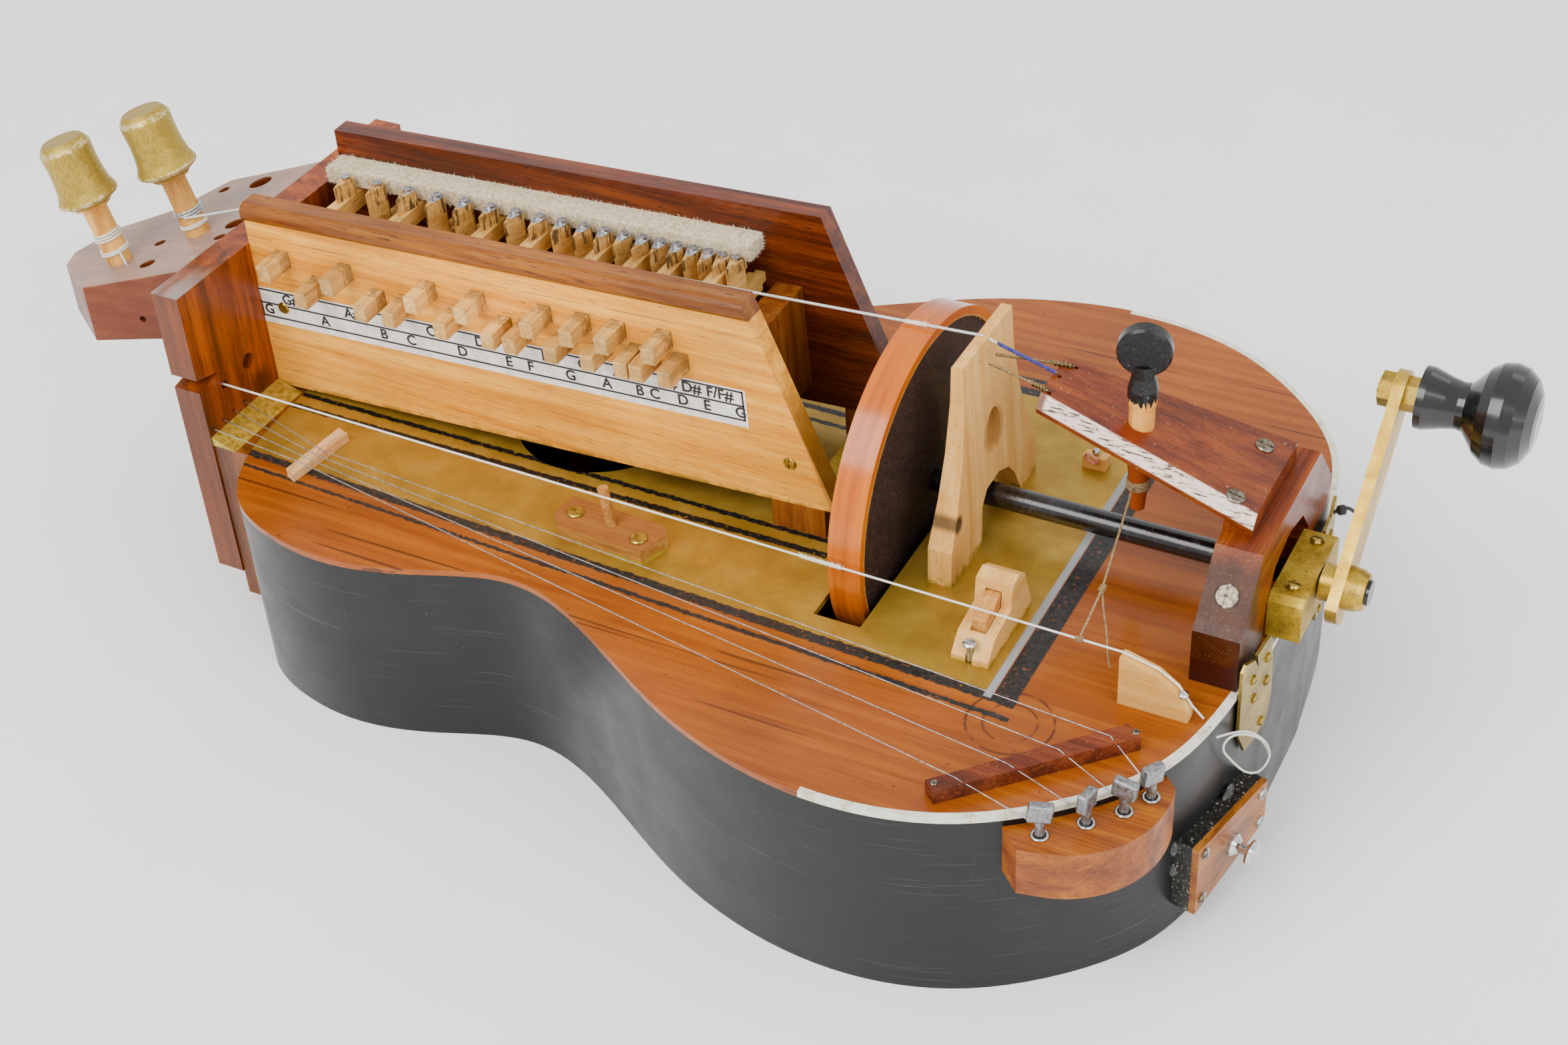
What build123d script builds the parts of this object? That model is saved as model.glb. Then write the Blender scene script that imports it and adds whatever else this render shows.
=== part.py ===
from build123d import *
import math
import os

os.makedirs("parts", exist_ok=True)

# A hurdy gurdy built on the body of a classical guitar.
# Everything is drawn with x from the neck end of the body towards the crank, y across the body and
# z up from the top of the soundboard. export() then moves each part, so that the origin is the middle
# of the flat back. All lengths are millimetres.

# ---- body
BODY_LENGTH = 480
BODY_DEPTH = 98
PLATE = 3  # thickness of the soundboard, the back and the ribs
OUTLINE = (  # distance from the neck end, half width
    (1.2, 60), (7, 94), (24, 121), (50, 134), (80, 138.5), (120, 131), (166, 117.5), (215, 133.5),
    (265, 162), (315, 179), (360, 181.5), (400, 171), (434, 148.5), (460, 119), (475, 72), (479, 36),
)
BINDING_FROM = 340
SOUND_HOLE = (146, 0, 40.5)  # x, y, radius
SLOT_X = (298.5, 320.5)
SLOT_HALF = 85

# ---- neck plank, headstock and pegs
PLANK_X = (-29, -14.3)
PLANK_Y = (-91, 86)
PLANK_TOP = 82
WIRE_HOLES_Y = (-88, -80, -72, -64, -56)  # where the thin wires start
WIRE_HOLES_Z = 8
HEAD_SLOPE = 16.6  # degrees, down towards the end
HEAD_JOIN_Z = 76  # top of the headstock where it meets the plank
HEAD_OUTLINE = (
    (-29, -58), (-93, -71), (-126, -47), (-132, -34), (-124, -11),
    (-99, 5), (-85, 34), (-79, 36), (-54, 42), (-29, 49),
)
PEG_SHAFT_R = 6
PEG_CLEAR = 0.08
PEG_PLACES = ((-90, -46), (-60, -21.5))
HEAD_STRING_HOLE = (-82, -50.6)
OLD_HOLES = (  # shallow holes left over in the headstock: x, y, radius
    (-68, -51, 4), (-61, 29, 6), (-42, -15, 5), (-81, 24, 3), (-41, -28, 3), (-78, -30, 3),
)

# ---- keybox
BOX_LEFT = -14.3
BOX_RISE = 1.7  # height of the walls' lower edge at the neck plank
BOX_PITCH = 2.64  # degrees, the whole box rises towards the wheel
WALL = 10
FRONT_Y = -37.6
BACK_Y = 46
WALL_TOP_LENGTH = 266
WALL_FOOT_LENGTH = 301.5
WALL_HEIGHT = 100
MOULDING = 8

# ---- keys: nineteen semitones above the open string
NUT_X = -13.8
SCALE = 344.8
UPPER_KEYS = (1, 3, 6, 8, 11, 13, 15, 18)
KEY_COUNT = 19
KEY_W = 6.6
KEY_H = 8
UPPER_TOP = 78.4
LOWER_TOP = 68
KEY_TIP_Y = -53.5
KEY_SHOULDER_Y = 31
KEY_SHIFT = 2.3  # the keys sit this far beyond the exact places of the notes
KEY_GAP = 0.3
POST_TOP = (87, 83.5)  # height of the first and the last post
TENON = 4.6
TENON_END_Y = 60  # the keys are pushed from behind, towards the string
POST_R = 3.2  # each key carries an upright post, round behind and pointed towards the string
POST_DEPTH = 14
POST_BACK_Y = 20.5

# ---- strings
STRING_R = 0.6
DRONE_R = 0.5
BRIDGE_TOP = 98.5
MELODY_NUT = (-22.3, -3, 81.3)
MELODY_BRIDGE = (338.8, 0.8, BRIDGE_TOP - 0.3)

# ---- wheel, axle and crank
AXLE_Z = 17.5
AXLE_R = 5.5
BORE_CLEAR = 0.06
WHEEL_X = (302.3, 317.3)
WHEEL_R = 77.5
RIM = 4.5
AXLE_FROM = 272
AXLE_TO = 511
CRANK_ANGLE = 40  # degrees above the horizontal, towards +y
CRANK_ARM = 85
CRANK_X = (496.5, 501.5)

# ---- tail end
TAIL_X = (455.5, 475.5)
TAIL_TOP = 53.5
BEARING_X = (475.5, 490)
TAILPIECE_X = (369.8, 467.5)
TAILPIECE_Z = (86.1, 62)
TAILPIECE_HALF = (16, 28)
TAILPIECE_THICK = 7


def box(x, y, z):
    """A box between pairs of limits."""
    size = (x[1] - x[0], y[1] - y[0], z[1] - z[0])
    middle = ((x[0] + x[1]) / 2, (y[0] + y[1]) / 2, (z[0] + z[1]) / 2)
    return Pos(*middle) * Box(*size)


def rod(start, end, radius):
    """A round rod from one point to another."""
    path = Vector(*end) - Vector(*start)
    return Plane(origin=start, z_dir=path) * Cylinder(
        radius, path.length, align=(Align.CENTER, Align.CENTER, Align.MIN)
    )


def turned(start, direction, profile):
    """A turned piece: profile is (distance along the axis, radius), from the axis back to the axis."""
    face = make_face(Polyline([(r, d) for d, r in profile], close=True))
    solid = revolve(Plane.XZ * face, Axis.Z, 360)
    return Plane(origin=start, z_dir=direction) * solid


def side_plate(points, y):
    """A flat board standing along x, from points (x, z), between two y values."""
    face = Plane.XZ * make_face(Polyline(points, close=True))
    return Pos(0, y[1], 0) * extrude(face, y[1] - y[0])


def cross_plate(points, x):
    """A flat board standing across the body, from points (y, z), between two x values."""
    face = Plane.YZ * make_face(Polyline(points, close=True))
    return Pos(x[0], 0, 0) * extrude(face, x[1] - x[0])


def flat_plate(points, z):
    """A board lying flat, from points (x, y), between two z values."""
    return Pos(0, 0, z[0]) * extrude(make_face(Polyline(points, close=True)), z[1] - z[0])


def fuse(*solids):
    """One solid out of several that touch."""
    joined = solids[0]
    for other in solids[1:]:
        joined = joined + other
    return joined


def group(*solids):
    """Separate solids that share one node."""
    found = []
    for item in solids:
        found.extend(item.solids())
    return Compound(found)


def export(shape, name):
    """Moves a part so that the origin is the middle of the back, and writes it."""
    placed = Pos(-BODY_LENGTH / 2, 0, BODY_DEPTH) * shape
    export_step(placed, f"parts/{name}.step")


# ---------------------------------------------------------------- body


def outline_face(inset=0):
    """The guitar outline, or the same line moved inwards."""
    ends = ((0, 0), (BODY_LENGTH, 0))
    square = [(0, 1), (0, -1)]
    edge = Spline([ends[0], *OUTLINE, ends[1]], tangents=square)
    if inset:
        moved = []
        for point in OUTLINE:
            along = edge.tangent_at(edge.param_at_point(point))
            moved.append((point[0] + inset * along.Y, point[1] - inset * along.X))
        edge = Spline([(inset, 0), *moved, (BODY_LENGTH - inset, 0)], tangents=square)
    return make_face([edge, mirror(edge, about=Plane.XZ)])


def body_block(inset, z):
    return Pos(0, 0, z[0]) * extrude(outline_face(inset), z[1] - z[0])


tail_region = box((BINDING_FROM, 500), (-200, 200), (-50, 50))
top_layer = body_block(0, (-PLATE, 0))
binding = (top_layer - body_block(PLATE, (-PLATE, 0))) & tail_region
soundboard = top_layer - binding
soundboard -= Pos(SOUND_HOLE[0], SOUND_HOLE[1], -PLATE / 2) * Cylinder(SOUND_HOLE[2], PLATE)
soundboard -= box(SLOT_X, (-SLOT_HALF, SLOT_HALF), (-PLATE, 0))
export(soundboard, "soundboard")
export(binding, "edge_binding")

rib_top = -PLATE
rib_foot = -BODY_DEPTH + PLATE
sides = body_block(0, (rib_foot, rib_top)) - body_block(PLATE, (rib_foot, rib_top))
export(sides, "body_sides")
export(body_block(0, (-BODY_DEPTH, rib_foot)), "body_back")

inside = body_block(PLATE, (rib_foot, rib_top))
neck_block = inside & box((0, 45), (-35, 35), (rib_foot, rib_top))
end_block = inside & box((452, 480), (-45, 45), (rib_foot, rib_top))
back_braces = [
    inside & box((x, x + 8), (-190, 190), (rib_foot, rib_foot + 12)) for x in (80, 190, 350)
]
neck_block -= group(*back_braces)
export(group(neck_block, end_block, *back_braces), "inner_frame")

# ---------------------------------------------------------------- neck plank and headstock

plank_points = (
    (PLANK_Y[0], PLANK_TOP), (PLANK_Y[0], 37), (-76, 33), (PLANK_Y[0], 30), (PLANK_Y[0], -76),
    (-62, -94), (58, -94), (PLANK_Y[1], -76), (PLANK_Y[1], 30), (72, 33), (PLANK_Y[1], 37),
    (PLANK_Y[1], PLANK_TOP - 3),
)
plank = cross_plate(plank_points, PLANK_X)
for y, z, r in ((-74, 24.4, 2.2), (-55.5, 26, 4)):
    plank -= rod((PLANK_X[0] - 1, y, z), (PLANK_X[1] + 1, y, z), r)
for y in WIRE_HOLES_Y:
    plank -= rod((PLANK_X[1] - 10, y, WIRE_HOLES_Z), (PLANK_X[1] + 1, y, WIRE_HOLES_Z), 0.9)

filler = box((PLANK_X[1], 12), (PLANK_Y[0] + 1, PLANK_Y[1] - 1), (-90, 0))
filler -= body_block(0, (-BODY_DEPTH, 0))
fillet_face = ((PLANK_X[1], 0), (-1, 0), (PLANK_X[1], 4.5))
fillet_strip = side_plate(fillet_face, (-90.5, FRONT_Y - 0.4))
export(group(filler, fillet_strip), "neck_packing")

head_rise = math.tan(math.radians(HEAD_SLOPE))


def head_z(x):
    return HEAD_JOIN_Z + (x - PLANK_X[0]) * head_rise


head = flat_plate(HEAD_OUTLINE, (-20, 100))
head_profile = ((-140, head_z(-140)), (-29, HEAD_JOIN_Z), (-29, 37), (-105, 24.6), (-140, 18.9))
head &= side_plate(head_profile, (-100, 100))
head_up = Vector(-math.sin(math.radians(HEAD_SLOPE)), 0, math.cos(math.radians(HEAD_SLOPE)))


def on_head(x, y, lift=0):
    return Vector(x, y, head_z(x)) + head_up * lift


for x, y in PEG_PLACES:
    head -= rod(on_head(x, y, -60), on_head(x, y, 5), PEG_SHAFT_R + PEG_CLEAR)
for x, y, r in OLD_HOLES:
    head -= rod(on_head(x, y, -14), on_head(x, y, 5), r)
head -= rod((-65, -80, 42.5), (-65, -55, 42.5), 1.6)
head -= rod(on_head(*HEAD_STRING_HOLE, -14), on_head(*HEAD_STRING_HOLE, 5), 1.1)
export(head, "headstock")

peg_profile = (
    (-34, 0), (-34, PEG_SHAFT_R), (30, PEG_SHAFT_R), (30, 8.5), (32, 10.4), (34.2, 14.2),
    (35.4, 14.8), (37, 14.2), (40, 13), (46, 12.2), (52, 12), (58, 12.3), (60.5, 12.4),
    (63.5, 10.5), (64.5, 9.5), (64.5, 0),
)
for number, (x, y) in enumerate(PEG_PLACES, 1):
    export(turned(on_head(x, y), head_up, peg_profile), f"tuning_peg_{number}")

# ---------------------------------------------------------------- keybox


def in_box(along, y, height):
    """A place in the keybox: along its lower edge from the plank, across, and up from that edge."""
    return Pos(BOX_LEFT, 0, BOX_RISE) * Rot(0, -BOX_PITCH, 0) * Pos(along, y, height)


def box_point(along, y, height):
    at = in_box(along, y, height).position
    return (at.X, at.Y, at.Z)


def key_along(number):
    """Where a key's tangent stops the string, by the equal-tempered rule."""
    x = NUT_X + SCALE * (1 - 2 ** (-number / 12))
    return (x - BOX_LEFT) / math.cos(math.radians(BOX_PITCH)) + KEY_SHIFT


def wall_board(height, y):
    """One long wall: square at the plank, slanted at the wheel end."""
    slant = (WALL_FOOT_LENGTH - WALL_TOP_LENGTH) * height / WALL_HEIGHT
    left = height * math.tan(math.radians(BOX_PITCH))
    points = ((0, 0), (WALL_FOOT_LENGTH, 0), (WALL_FOOT_LENGTH - slant, height), (left, height))
    return in_box(0, 0, 0) * side_plate(points, y)


def key_top(number):
    return UPPER_TOP if number in UPPER_KEYS else LOWER_TOP


front_wall = wall_board(WALL_HEIGHT - MOULDING, (FRONT_Y, FRONT_Y + WALL))
back_wall = wall_board(WALL_HEIGHT, (BACK_Y - WALL, BACK_Y))
for n in range(1, KEY_COUNT + 1):
    middle = key_top(n) - KEY_H / 2
    hole = Box(KEY_W + 2 * KEY_GAP, WALL + 2, KEY_H + 2 * KEY_GAP)
    front_wall -= in_box(key_along(n), FRONT_Y + WALL / 2, middle) * hole
    small = Box(TENON + 2 * KEY_GAP, WALL + 2, TENON + 2 * KEY_GAP)
    back_wall -= in_box(key_along(n), BACK_Y - WALL / 2, middle) * small
export(front_wall, "keybox_front_wall")
export(back_wall, "keybox_back_wall")

base = WALL_HEIGHT - MOULDING
moulding_end = WALL_TOP_LENGTH + (WALL_FOOT_LENGTH - WALL_TOP_LENGTH) * MOULDING / WALL_HEIGHT
moulding_start = base * math.tan(math.radians(BOX_PITCH))
profile = Plane.YZ * make_face(
    [
        Polyline([(-27.6, base), (-38.2, base), (-39.6, base + 2), (-39.6, base + 4.5)]),
        ThreePointArc((-39.6, base + 4.5), (-37.6, base + 7.4), (-33.6, base + MOULDING)),
        Polyline([(-33.6, base + MOULDING), (-27.6, base + MOULDING), (-27.6, base)]),
    ]
)
moulding = in_box(moulding_start, 0, 0) * extrude(profile, moulding_end - moulding_start)
slant_angle = math.degrees(math.atan2(WALL_FOOT_LENGTH - WALL_TOP_LENGTH, WALL_HEIGHT))
beyond = Rot(0, -slant_angle, 0) * Pos(20, 0, 0) * Box(40, 20, 60)
moulding -= in_box(WALL_TOP_LENGTH, -33, WALL_HEIGHT) * beyond
export(moulding, "keybox_moulding")

cross_block = in_box(247, 4.2, 36) * Box(13, 63.6, 52)
shims = []
for y in ((FRONT_Y, FRONT_Y + WALL), (BACK_Y - WALL, BACK_Y)):
    shims.append(side_plate(((255, 0), (281, 0), (281, 15.2), (255, 14.0)), y))
export(group(cross_block, *shims), "keybox_blocks")
export(in_box(121, 29.3, 83.2) * Box(230, 13.4, 7.6), "felt_strip")


post_face = make_face(
    [
        Polyline([(-POST_R, -POST_R), (0, -POST_DEPTH), (POST_R, -POST_R)]),
        ThreePointArc((POST_R, -POST_R), (0, 0), (-POST_R, -POST_R)),
    ]
)
for n in range(1, KEY_COUNT + 1):
    along = key_along(n)
    top = key_top(n)
    post_top = POST_TOP[0] + (POST_TOP[1] - POST_TOP[0]) * (n - 1) / (KEY_COUNT - 1)
    stick = in_box(along, (KEY_TIP_Y + KEY_SHOULDER_Y) / 2, top - KEY_H / 2) * Box(
        KEY_W, KEY_SHOULDER_Y - KEY_TIP_Y, KEY_H
    )
    stick = chamfer(stick.edges().sort_by(Axis.Y)[:4], 0.6)
    tenon_at = in_box(along, (KEY_SHOULDER_Y + TENON_END_Y) / 2, top - KEY_H / 2)
    tenon = tenon_at * Box(TENON, TENON_END_Y - KEY_SHOULDER_Y, TENON)
    post = in_box(along, POST_BACK_Y, top) * extrude(post_face, post_top - top)
    post_screw = in_box(along, POST_BACK_Y - POST_R - 0.4, post_top + 0.7) * Cylinder(2.3, 1.4)
    export(group(fuse(stick, tenon), post, post_screw), f"key_{n:02d}")

# ---------------------------------------------------------------- wheel, axle and crank

spin = (1, 0, 0)
rim = rod((WHEEL_X[0], 0, AXLE_Z), (WHEEL_X[1], 0, AXLE_Z), WHEEL_R)
rim -= rod((WHEEL_X[0] - 1, 0, AXLE_Z), (WHEEL_X[1] + 1, 0, AXLE_Z), WHEEL_R - RIM)
core = rod((WHEEL_X[0] + 1, 0, AXLE_Z), (WHEEL_X[1] - 1, 0, AXLE_Z), WHEEL_R - RIM)
core -= rod((WHEEL_X[0] - 1, 0, AXLE_Z), (WHEEL_X[1] + 1, 0, AXLE_Z), AXLE_R)
export(group(rim, core), "wheel")
export(rod((AXLE_FROM, 0, AXLE_Z), (AXLE_TO, 0, AXLE_Z), AXLE_R), "axle")

arm_y = math.cos(math.radians(CRANK_ANGLE))
arm_z = math.sin(math.radians(CRANK_ANGLE))
bolt_y = CRANK_ARM * arm_y
bolt_z = AXLE_Z + CRANK_ARM * arm_z
ARM_HALF = 9.5
arm = box(CRANK_X, (0, CRANK_ARM), (-ARM_HALF, ARM_HALF))
arm += rod((CRANK_X[0], 0, 0), (CRANK_X[1], 0, 0), 16)
arm &= box(CRANK_X, (-16, CRANK_ARM + 12), (-ARM_HALF, ARM_HALF))
arm += rod((CRANK_X[0], CRANK_ARM, 0), (CRANK_X[1], CRANK_ARM, 0), ARM_HALF)
arm = Pos(0, 0, AXLE_Z) * Rot(CRANK_ANGLE, 0, 0) * arm
arm -= rod((CRANK_X[0] - 1, 0, AXLE_Z), (CRANK_X[1] + 1, 0, AXLE_Z), AXLE_R)
BOLT_R = 3
arm -= rod((CRANK_X[0] - 1, bolt_y, bolt_z), (CRANK_X[1] + 1, bolt_y, bolt_z), BOLT_R)
export(arm, "crank_arm")

collar = turned((491, 0, AXLE_Z), spin, ((0, AXLE_R), (0, 8), (5.5, 8), (5.5, AXLE_R)))
cone = turned((501.5, 0, AXLE_Z), spin, ((0, AXLE_R), (0, 9.5), (5, 9), (8, 7.5), (8, AXLE_R)))
bolt = rod((489.5, bolt_y, bolt_z), (522, bolt_y, bolt_z), BOLT_R)
nuts = []
for x0, x1 in ((490.5, 496.5), (501.5, 507)):
    nut_points = [
        (bolt_y + 7.5 * math.cos(math.radians(a)), bolt_z + 7.5 * math.sin(math.radians(a)))
        for a in range(0, 360, 60)
    ]
    nut = cross_plate(nut_points, (x0, x1))
    nuts.append(nut - rod((x0 - 1, bolt_y, bolt_z), (x1 + 1, bolt_y, bolt_z), BOLT_R))
export(group(collar, cone, bolt, *nuts), "crank_fasteners")

handle_profile = (
    (0, BOLT_R + 0.08), (0, 13.4), (3, 13.4), (11, 11), (16, 10), (19, 10.4), (22, 14),
    (25.5, 18.4), (30, 21.4), (35, 22.2), (40, 21), (44.5, 17.4), (47.3, 12), (48, 8), (48, 0),
    (15, 0), (15, BOLT_R + 0.08),
)
export(turned((507.4, bolt_y, bolt_z), spin, handle_profile), "crank_handle")

# ---------------------------------------------------------------- bearings and tail

front_bearing = box((274, 296), (-27, 27), (0, 26))
front_bearing -= rod((270, 0, AXLE_Z), (300, 0, AXLE_Z), AXLE_R + BORE_CLEAR)

tail_points = (
    (-60, 12), (-60, 26), (-56, 30), (-37, TAIL_TOP), (37, TAIL_TOP), (56, 30), (60, 26), (60, 12),
)
arch = ((-28, -5), (-28, 20), (-18, 34), (0, 38.5), (18, 34), (29, 20), (29, -5))
arch_cut = cross_plate(arch, (TAIL_X[0] - 1, TAIL_X[1] + 1))
tail_block = cross_plate(tail_points, TAIL_X) - arch_cut
tail_base = box(TAIL_X, (-60, 60), (0, 12)) - arch_cut

slope = (TAILPIECE_Z[0] - TAILPIECE_Z[1]) / (TAILPIECE_X[1] - TAILPIECE_X[0])


def tail_z(x):
    """Top surface of the sloping tailpiece."""
    return TAILPIECE_Z[1] + (TAILPIECE_X[1] - x) * slope


x0, x1 = TAILPIECE_X
h0, h1 = TAILPIECE_HALF
plan = flat_plate(((x0, -h0), (x1, -h1), (x1, h1), (x0, h0)), (20, 120))
skin = TAILPIECE_THICK / math.cos(math.atan(slope))
upper = [(x, tail_z(x)) for x in (x0 - 5, x1 + 5)]
slab = upper + [(x, z - skin) for x, z in reversed(upper)]
tailpiece = plan & side_plate(slab, (-60, 60))
near_edge = [
    e for e in tailpiece.edges()
    if e.length > 60 and e.center().Y < 0 and e.center().Z > tail_z(e.center().X) - 2
]
tailpiece = chamfer(near_edge, 5)
TAIL_PEG = (410.5, -2.4)
tail_up = Vector(slope, 0, 1).normalized()


def on_tail(x, y, lift=0):
    return Vector(x, y, tail_z(x)) + tail_up * lift


TAIL_PEG_R = 5.4
peg_foot = Vector(*TAIL_PEG, tail_z(TAIL_PEG[0]))
tailpiece -= rod(peg_foot - Vector(0, 0, 20), peg_foot + Vector(0, 0, 10), TAIL_PEG_R + PEG_CLEAR)
wire_ends = ((373, -9.6), (376, 12.5), (372.4, 2.8))
for x, y in wire_ends:
    tailpiece -= rod(on_tail(x, y, -20), on_tail(x, y, 10), 1)
export(tailpiece, "tailpiece")

wedge = box((TAIL_X[0], x1), (-29, 29), (TAIL_TOP, 80))
wedge_side = [(400, 0), (500, 0)] + [(x, tail_z(x) - skin) for x in (500, 400)]
wedge &= side_plate(wedge_side, (-60, 60))
export(group(tail_block, tail_base, wedge), "tail_block")

peg_shape = (
    (-43, 0), (-43, 3.2), (-31, 4), (-17, TAIL_PEG_R), (8, TAIL_PEG_R), (13, 6.3), (18, 6.3),
    (24, 5), (30, 5), (30, 0),
)
stem = turned(peg_foot, (0, 0, 1), peg_shape)
disc_at = peg_foot + Vector(0, 0, 36.4)
half_disc = Vector(0.9, -3.4, 0)
disc = rod(disc_at - half_disc, disc_at + half_disc, 11.3)
disc = chamfer(disc.edges().filter_by(GeomType.CIRCLE), 1)
export(fuse(stem, disc), "trompette_peg")

bearing_points = ((-25, 3), (-25, 21), (-22, 24), (22, 24), (25, 21), (25, 3))
tail_bearing = cross_plate(bearing_points, BEARING_X)
tail_bearing -= rod((470, 0, AXLE_Z), (495, 0, AXLE_Z), AXLE_R + BORE_CLEAR)
export(group(front_bearing, tail_bearing), "axle_bearings")

# ---------------------------------------------------------------- bridge

half = ((46.5, 0), (46, 18), (36.5, 37), (30, 57), (26, 81), (26, BRIDGE_TOP))
bridge_points = [(-w, z) for w, z in half] + [(w, z) for w, z in reversed(half)]
bridge = cross_plate(bridge_points, (334, 345))
taper = ((334, 0), (345, 0), (345, 20), (341.4, BRIDGE_TOP), (336.4, BRIDGE_TOP), (334, 20))
bridge &= side_plate(taper, (-60, 60))
foot_arch = ((-14.5, -1), (-13.5, 20), (-8, 26), (5, 26.5), (15, 22), (22, 14), (30, -1))
bridge -= cross_plate(foot_arch, (330, 350))
oval = Plane.YZ * (Pos(1.5, 51) * Ellipse(7, 11))
bridge -= Pos(330, 0, 0) * extrude(oval, 20)
for y in (-8, -1):
    bridge -= rod((330, y, 92), (350, y, 92), 0.8)
bridge -= rod((330, -38, 28), (350, -38, 28), 2.6)

# ---------------------------------------------------------------- small fittings on the soundboard

lift = flat_plate(((167, -78), (173, -85), (216, -87), (221, -72), (217, -67), (169, -64)), (0, 8))
LIFT_PEG = ((196, -75.5, 0), (192, -74.6, 27))
lift -= rod(*LIFT_PEG, 2.5)
lift_peg = rod((196, -75.5, 0.6), LIFT_PEG[1], 2.5)
lift_peg &= box((150, 230), (-100, -50), (0, 40))
export(group(lift, lift_peg), "string_lift")

DOG_X = (363, 379.5)
DOG_PIVOT = (-56, 13)  # y and z of the dog's pin
dog_side = (
    (-87.5, 0), (-42.5, 0), (-42.5, 5), (-46.5, 14), (-49, 22), (-55, 25.5), (-62, 24),
    (-63.5, 13), (-80, 10.5), (-87.5, 3),
)
dog_bridge = cross_plate(dog_side, DOG_X)
dog_bridge -= box((367.6, 374.9), (-79, -49.5), (5, 20.5))
dog_bridge -= box((369.2, 372.2), (-90, -84.3), (0, 12))
dog_bridge -= rod((350, *DOG_PIVOT), (390, *DOG_PIVOT), 1.06)
dog_outline = (
    (-77, 7.5), (-77.5, 15), (-74, 18), (-70, 15.5), (-66, 19.5), (-57, 19), (-52, 16), (-51, 11),
    (-55, 7.5),
)
dog = cross_plate(dog_outline, (368, 374.5))
dog -= rod((360, *DOG_PIVOT), (380, *DOG_PIVOT), 1.0)
dog_pin = rod((363.2, *DOG_PIVOT), (379.3, *DOG_PIVOT), 1.0)
export(dog_bridge, "dog_bridge")
export(group(dog, dog_pin), "dog")

bracket_face = ((434.5, 0), (464, 0), (464, 5), (458, 14), (450, 20), (436, 24), (434.5, 24))
beech_bracket = side_plate(bracket_face, (-85, -79))
far_bracket = cross_plate(((55, 0), (62, 0), (62, 5), (55, 6.5)), (364, 375))
export(group(beech_bracket, far_bracket), "drone_brackets")

nut_stick = flat_plate(((33, -96), (38.5, -98.5), (43.5, -62), (37, -60)), (0, 4.5))
sym_points = ((385.5, -162.5), (391, -167), (452.5, -106.5), (445, -101.5))
sym_bridge = flat_plate(sym_points, (0, 7))

# ---------------------------------------------------------------- tuner block and strap plate on the side

TUNER_MID = (442, -136.5)
TUNER_TURN = math.degrees(math.atan2(-109 + 161, 466 - 417.5))
tuner_face = make_face(
    [
        Polyline([(-35, 4), (35, 4), (35, -6)]),
        ThreePointArc((35, -6), (6, -25), (-28, -17)),
        Polyline([(-28, -17), (-35, -12), (-35, 4)]),
    ]
)
tuner_block = extrude(tuner_face, 24)
tuner_block = Pos(TUNER_MID[0], TUNER_MID[1], -30) * Rot(0, 0, TUNER_TURN) * tuner_block
tuner_block -= body_block(0, (-BODY_DEPTH, 10))


def on_tuner(along, out, z):
    at = (Pos(TUNER_MID[0], TUNER_MID[1], 0) * Rot(0, 0, TUNER_TURN) * Pos(along, out, z)).position
    return (at.X, at.Y, at.Z)


TUNER_PLACES = ((-24, -9), (-5, -10), (11, -10), (24, -7))
WING_TURNS = (-20, 35, -50, 15)
for along, out in TUNER_PLACES:
    tuner_block -= rod(on_tuner(along, out, -31), on_tuner(along, out, -5), 2.06)
export(tuner_block, "tuner_block")
for number, (along, out) in enumerate(TUNER_PLACES, 1):
    pin = rod(on_tuner(along, out, -29), on_tuner(along, out, 3), 2)
    wing = fillet(Box(10, 4.4, 8.6).edges(), 1.2)
    turn = Rot(0, 0, TUNER_TURN + WING_TURNS[number - 1])
    wing = Pos(*on_tuner(along, out, 6.6)) * turn * Rot(0, 8, 0) * wing
    export(fuse(pin, wing), f"sympathetic_tuner_{number}")

# The strap plate sits on a wedge-shaped packing block glued to the end of the ribs.
STRAP_MID = (481.2, -77)
STRAP_TURN = 79
STRAP_Z = -66


def on_strap(along, out, z):
    """A place on the strap plate: along it from its middle, outwards, and height."""
    at = (Pos(*STRAP_MID, 0) * Rot(0, 0, STRAP_TURN) * Pos(along, -out, z)).position
    return (at.X, at.Y, at.Z)


strap_line = ((-28, -84), (28, -76), (28, -52), (-28, -47))
strap_face = Pos(*STRAP_MID, 0) * Rot(0, 0, STRAP_TURN)
strap_wood = strap_face * side_plate(strap_line, (-3, 0))
strap_packing = strap_face * side_plate(strap_line, (0, 20)) - body_block(0, (-BODY_DEPTH, 10))
strap_packing = strap_packing.solids().sort_by(Axis.X)[-1]
strap_hole = rod(on_strap(0, 10, STRAP_Z), on_strap(0, -9, STRAP_Z), 2)
strap_wood -= strap_hole
strap_packing -= strap_hole
export(group(strap_wood, strap_packing), "strap_plate")
button_profile = (
    (-7, 0), (-7, 2), (0, 2), (0, 5), (1.5, 5), (4, 2.6), (7.5, 2.6), (8.5, 5.6), (9.6, 6),
    (11, 4.6), (11.4, 0),
)
strap_out = Vector(*on_strap(0, 1, 0)) - Vector(*on_strap(0, 0, 0))
export(turned(on_strap(0, 3, STRAP_Z), strap_out, button_profile), "strap_button")


BRASS_TURN = 6.3  # degrees, following the curve of the ribs


def brass_place(side):
    """Two brass plates hold the tail block down on the ribs: this is the middle of one."""
    return Pos(479, side * 45, 0) * Rot(0, 0, side * BRASS_TURN)


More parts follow.
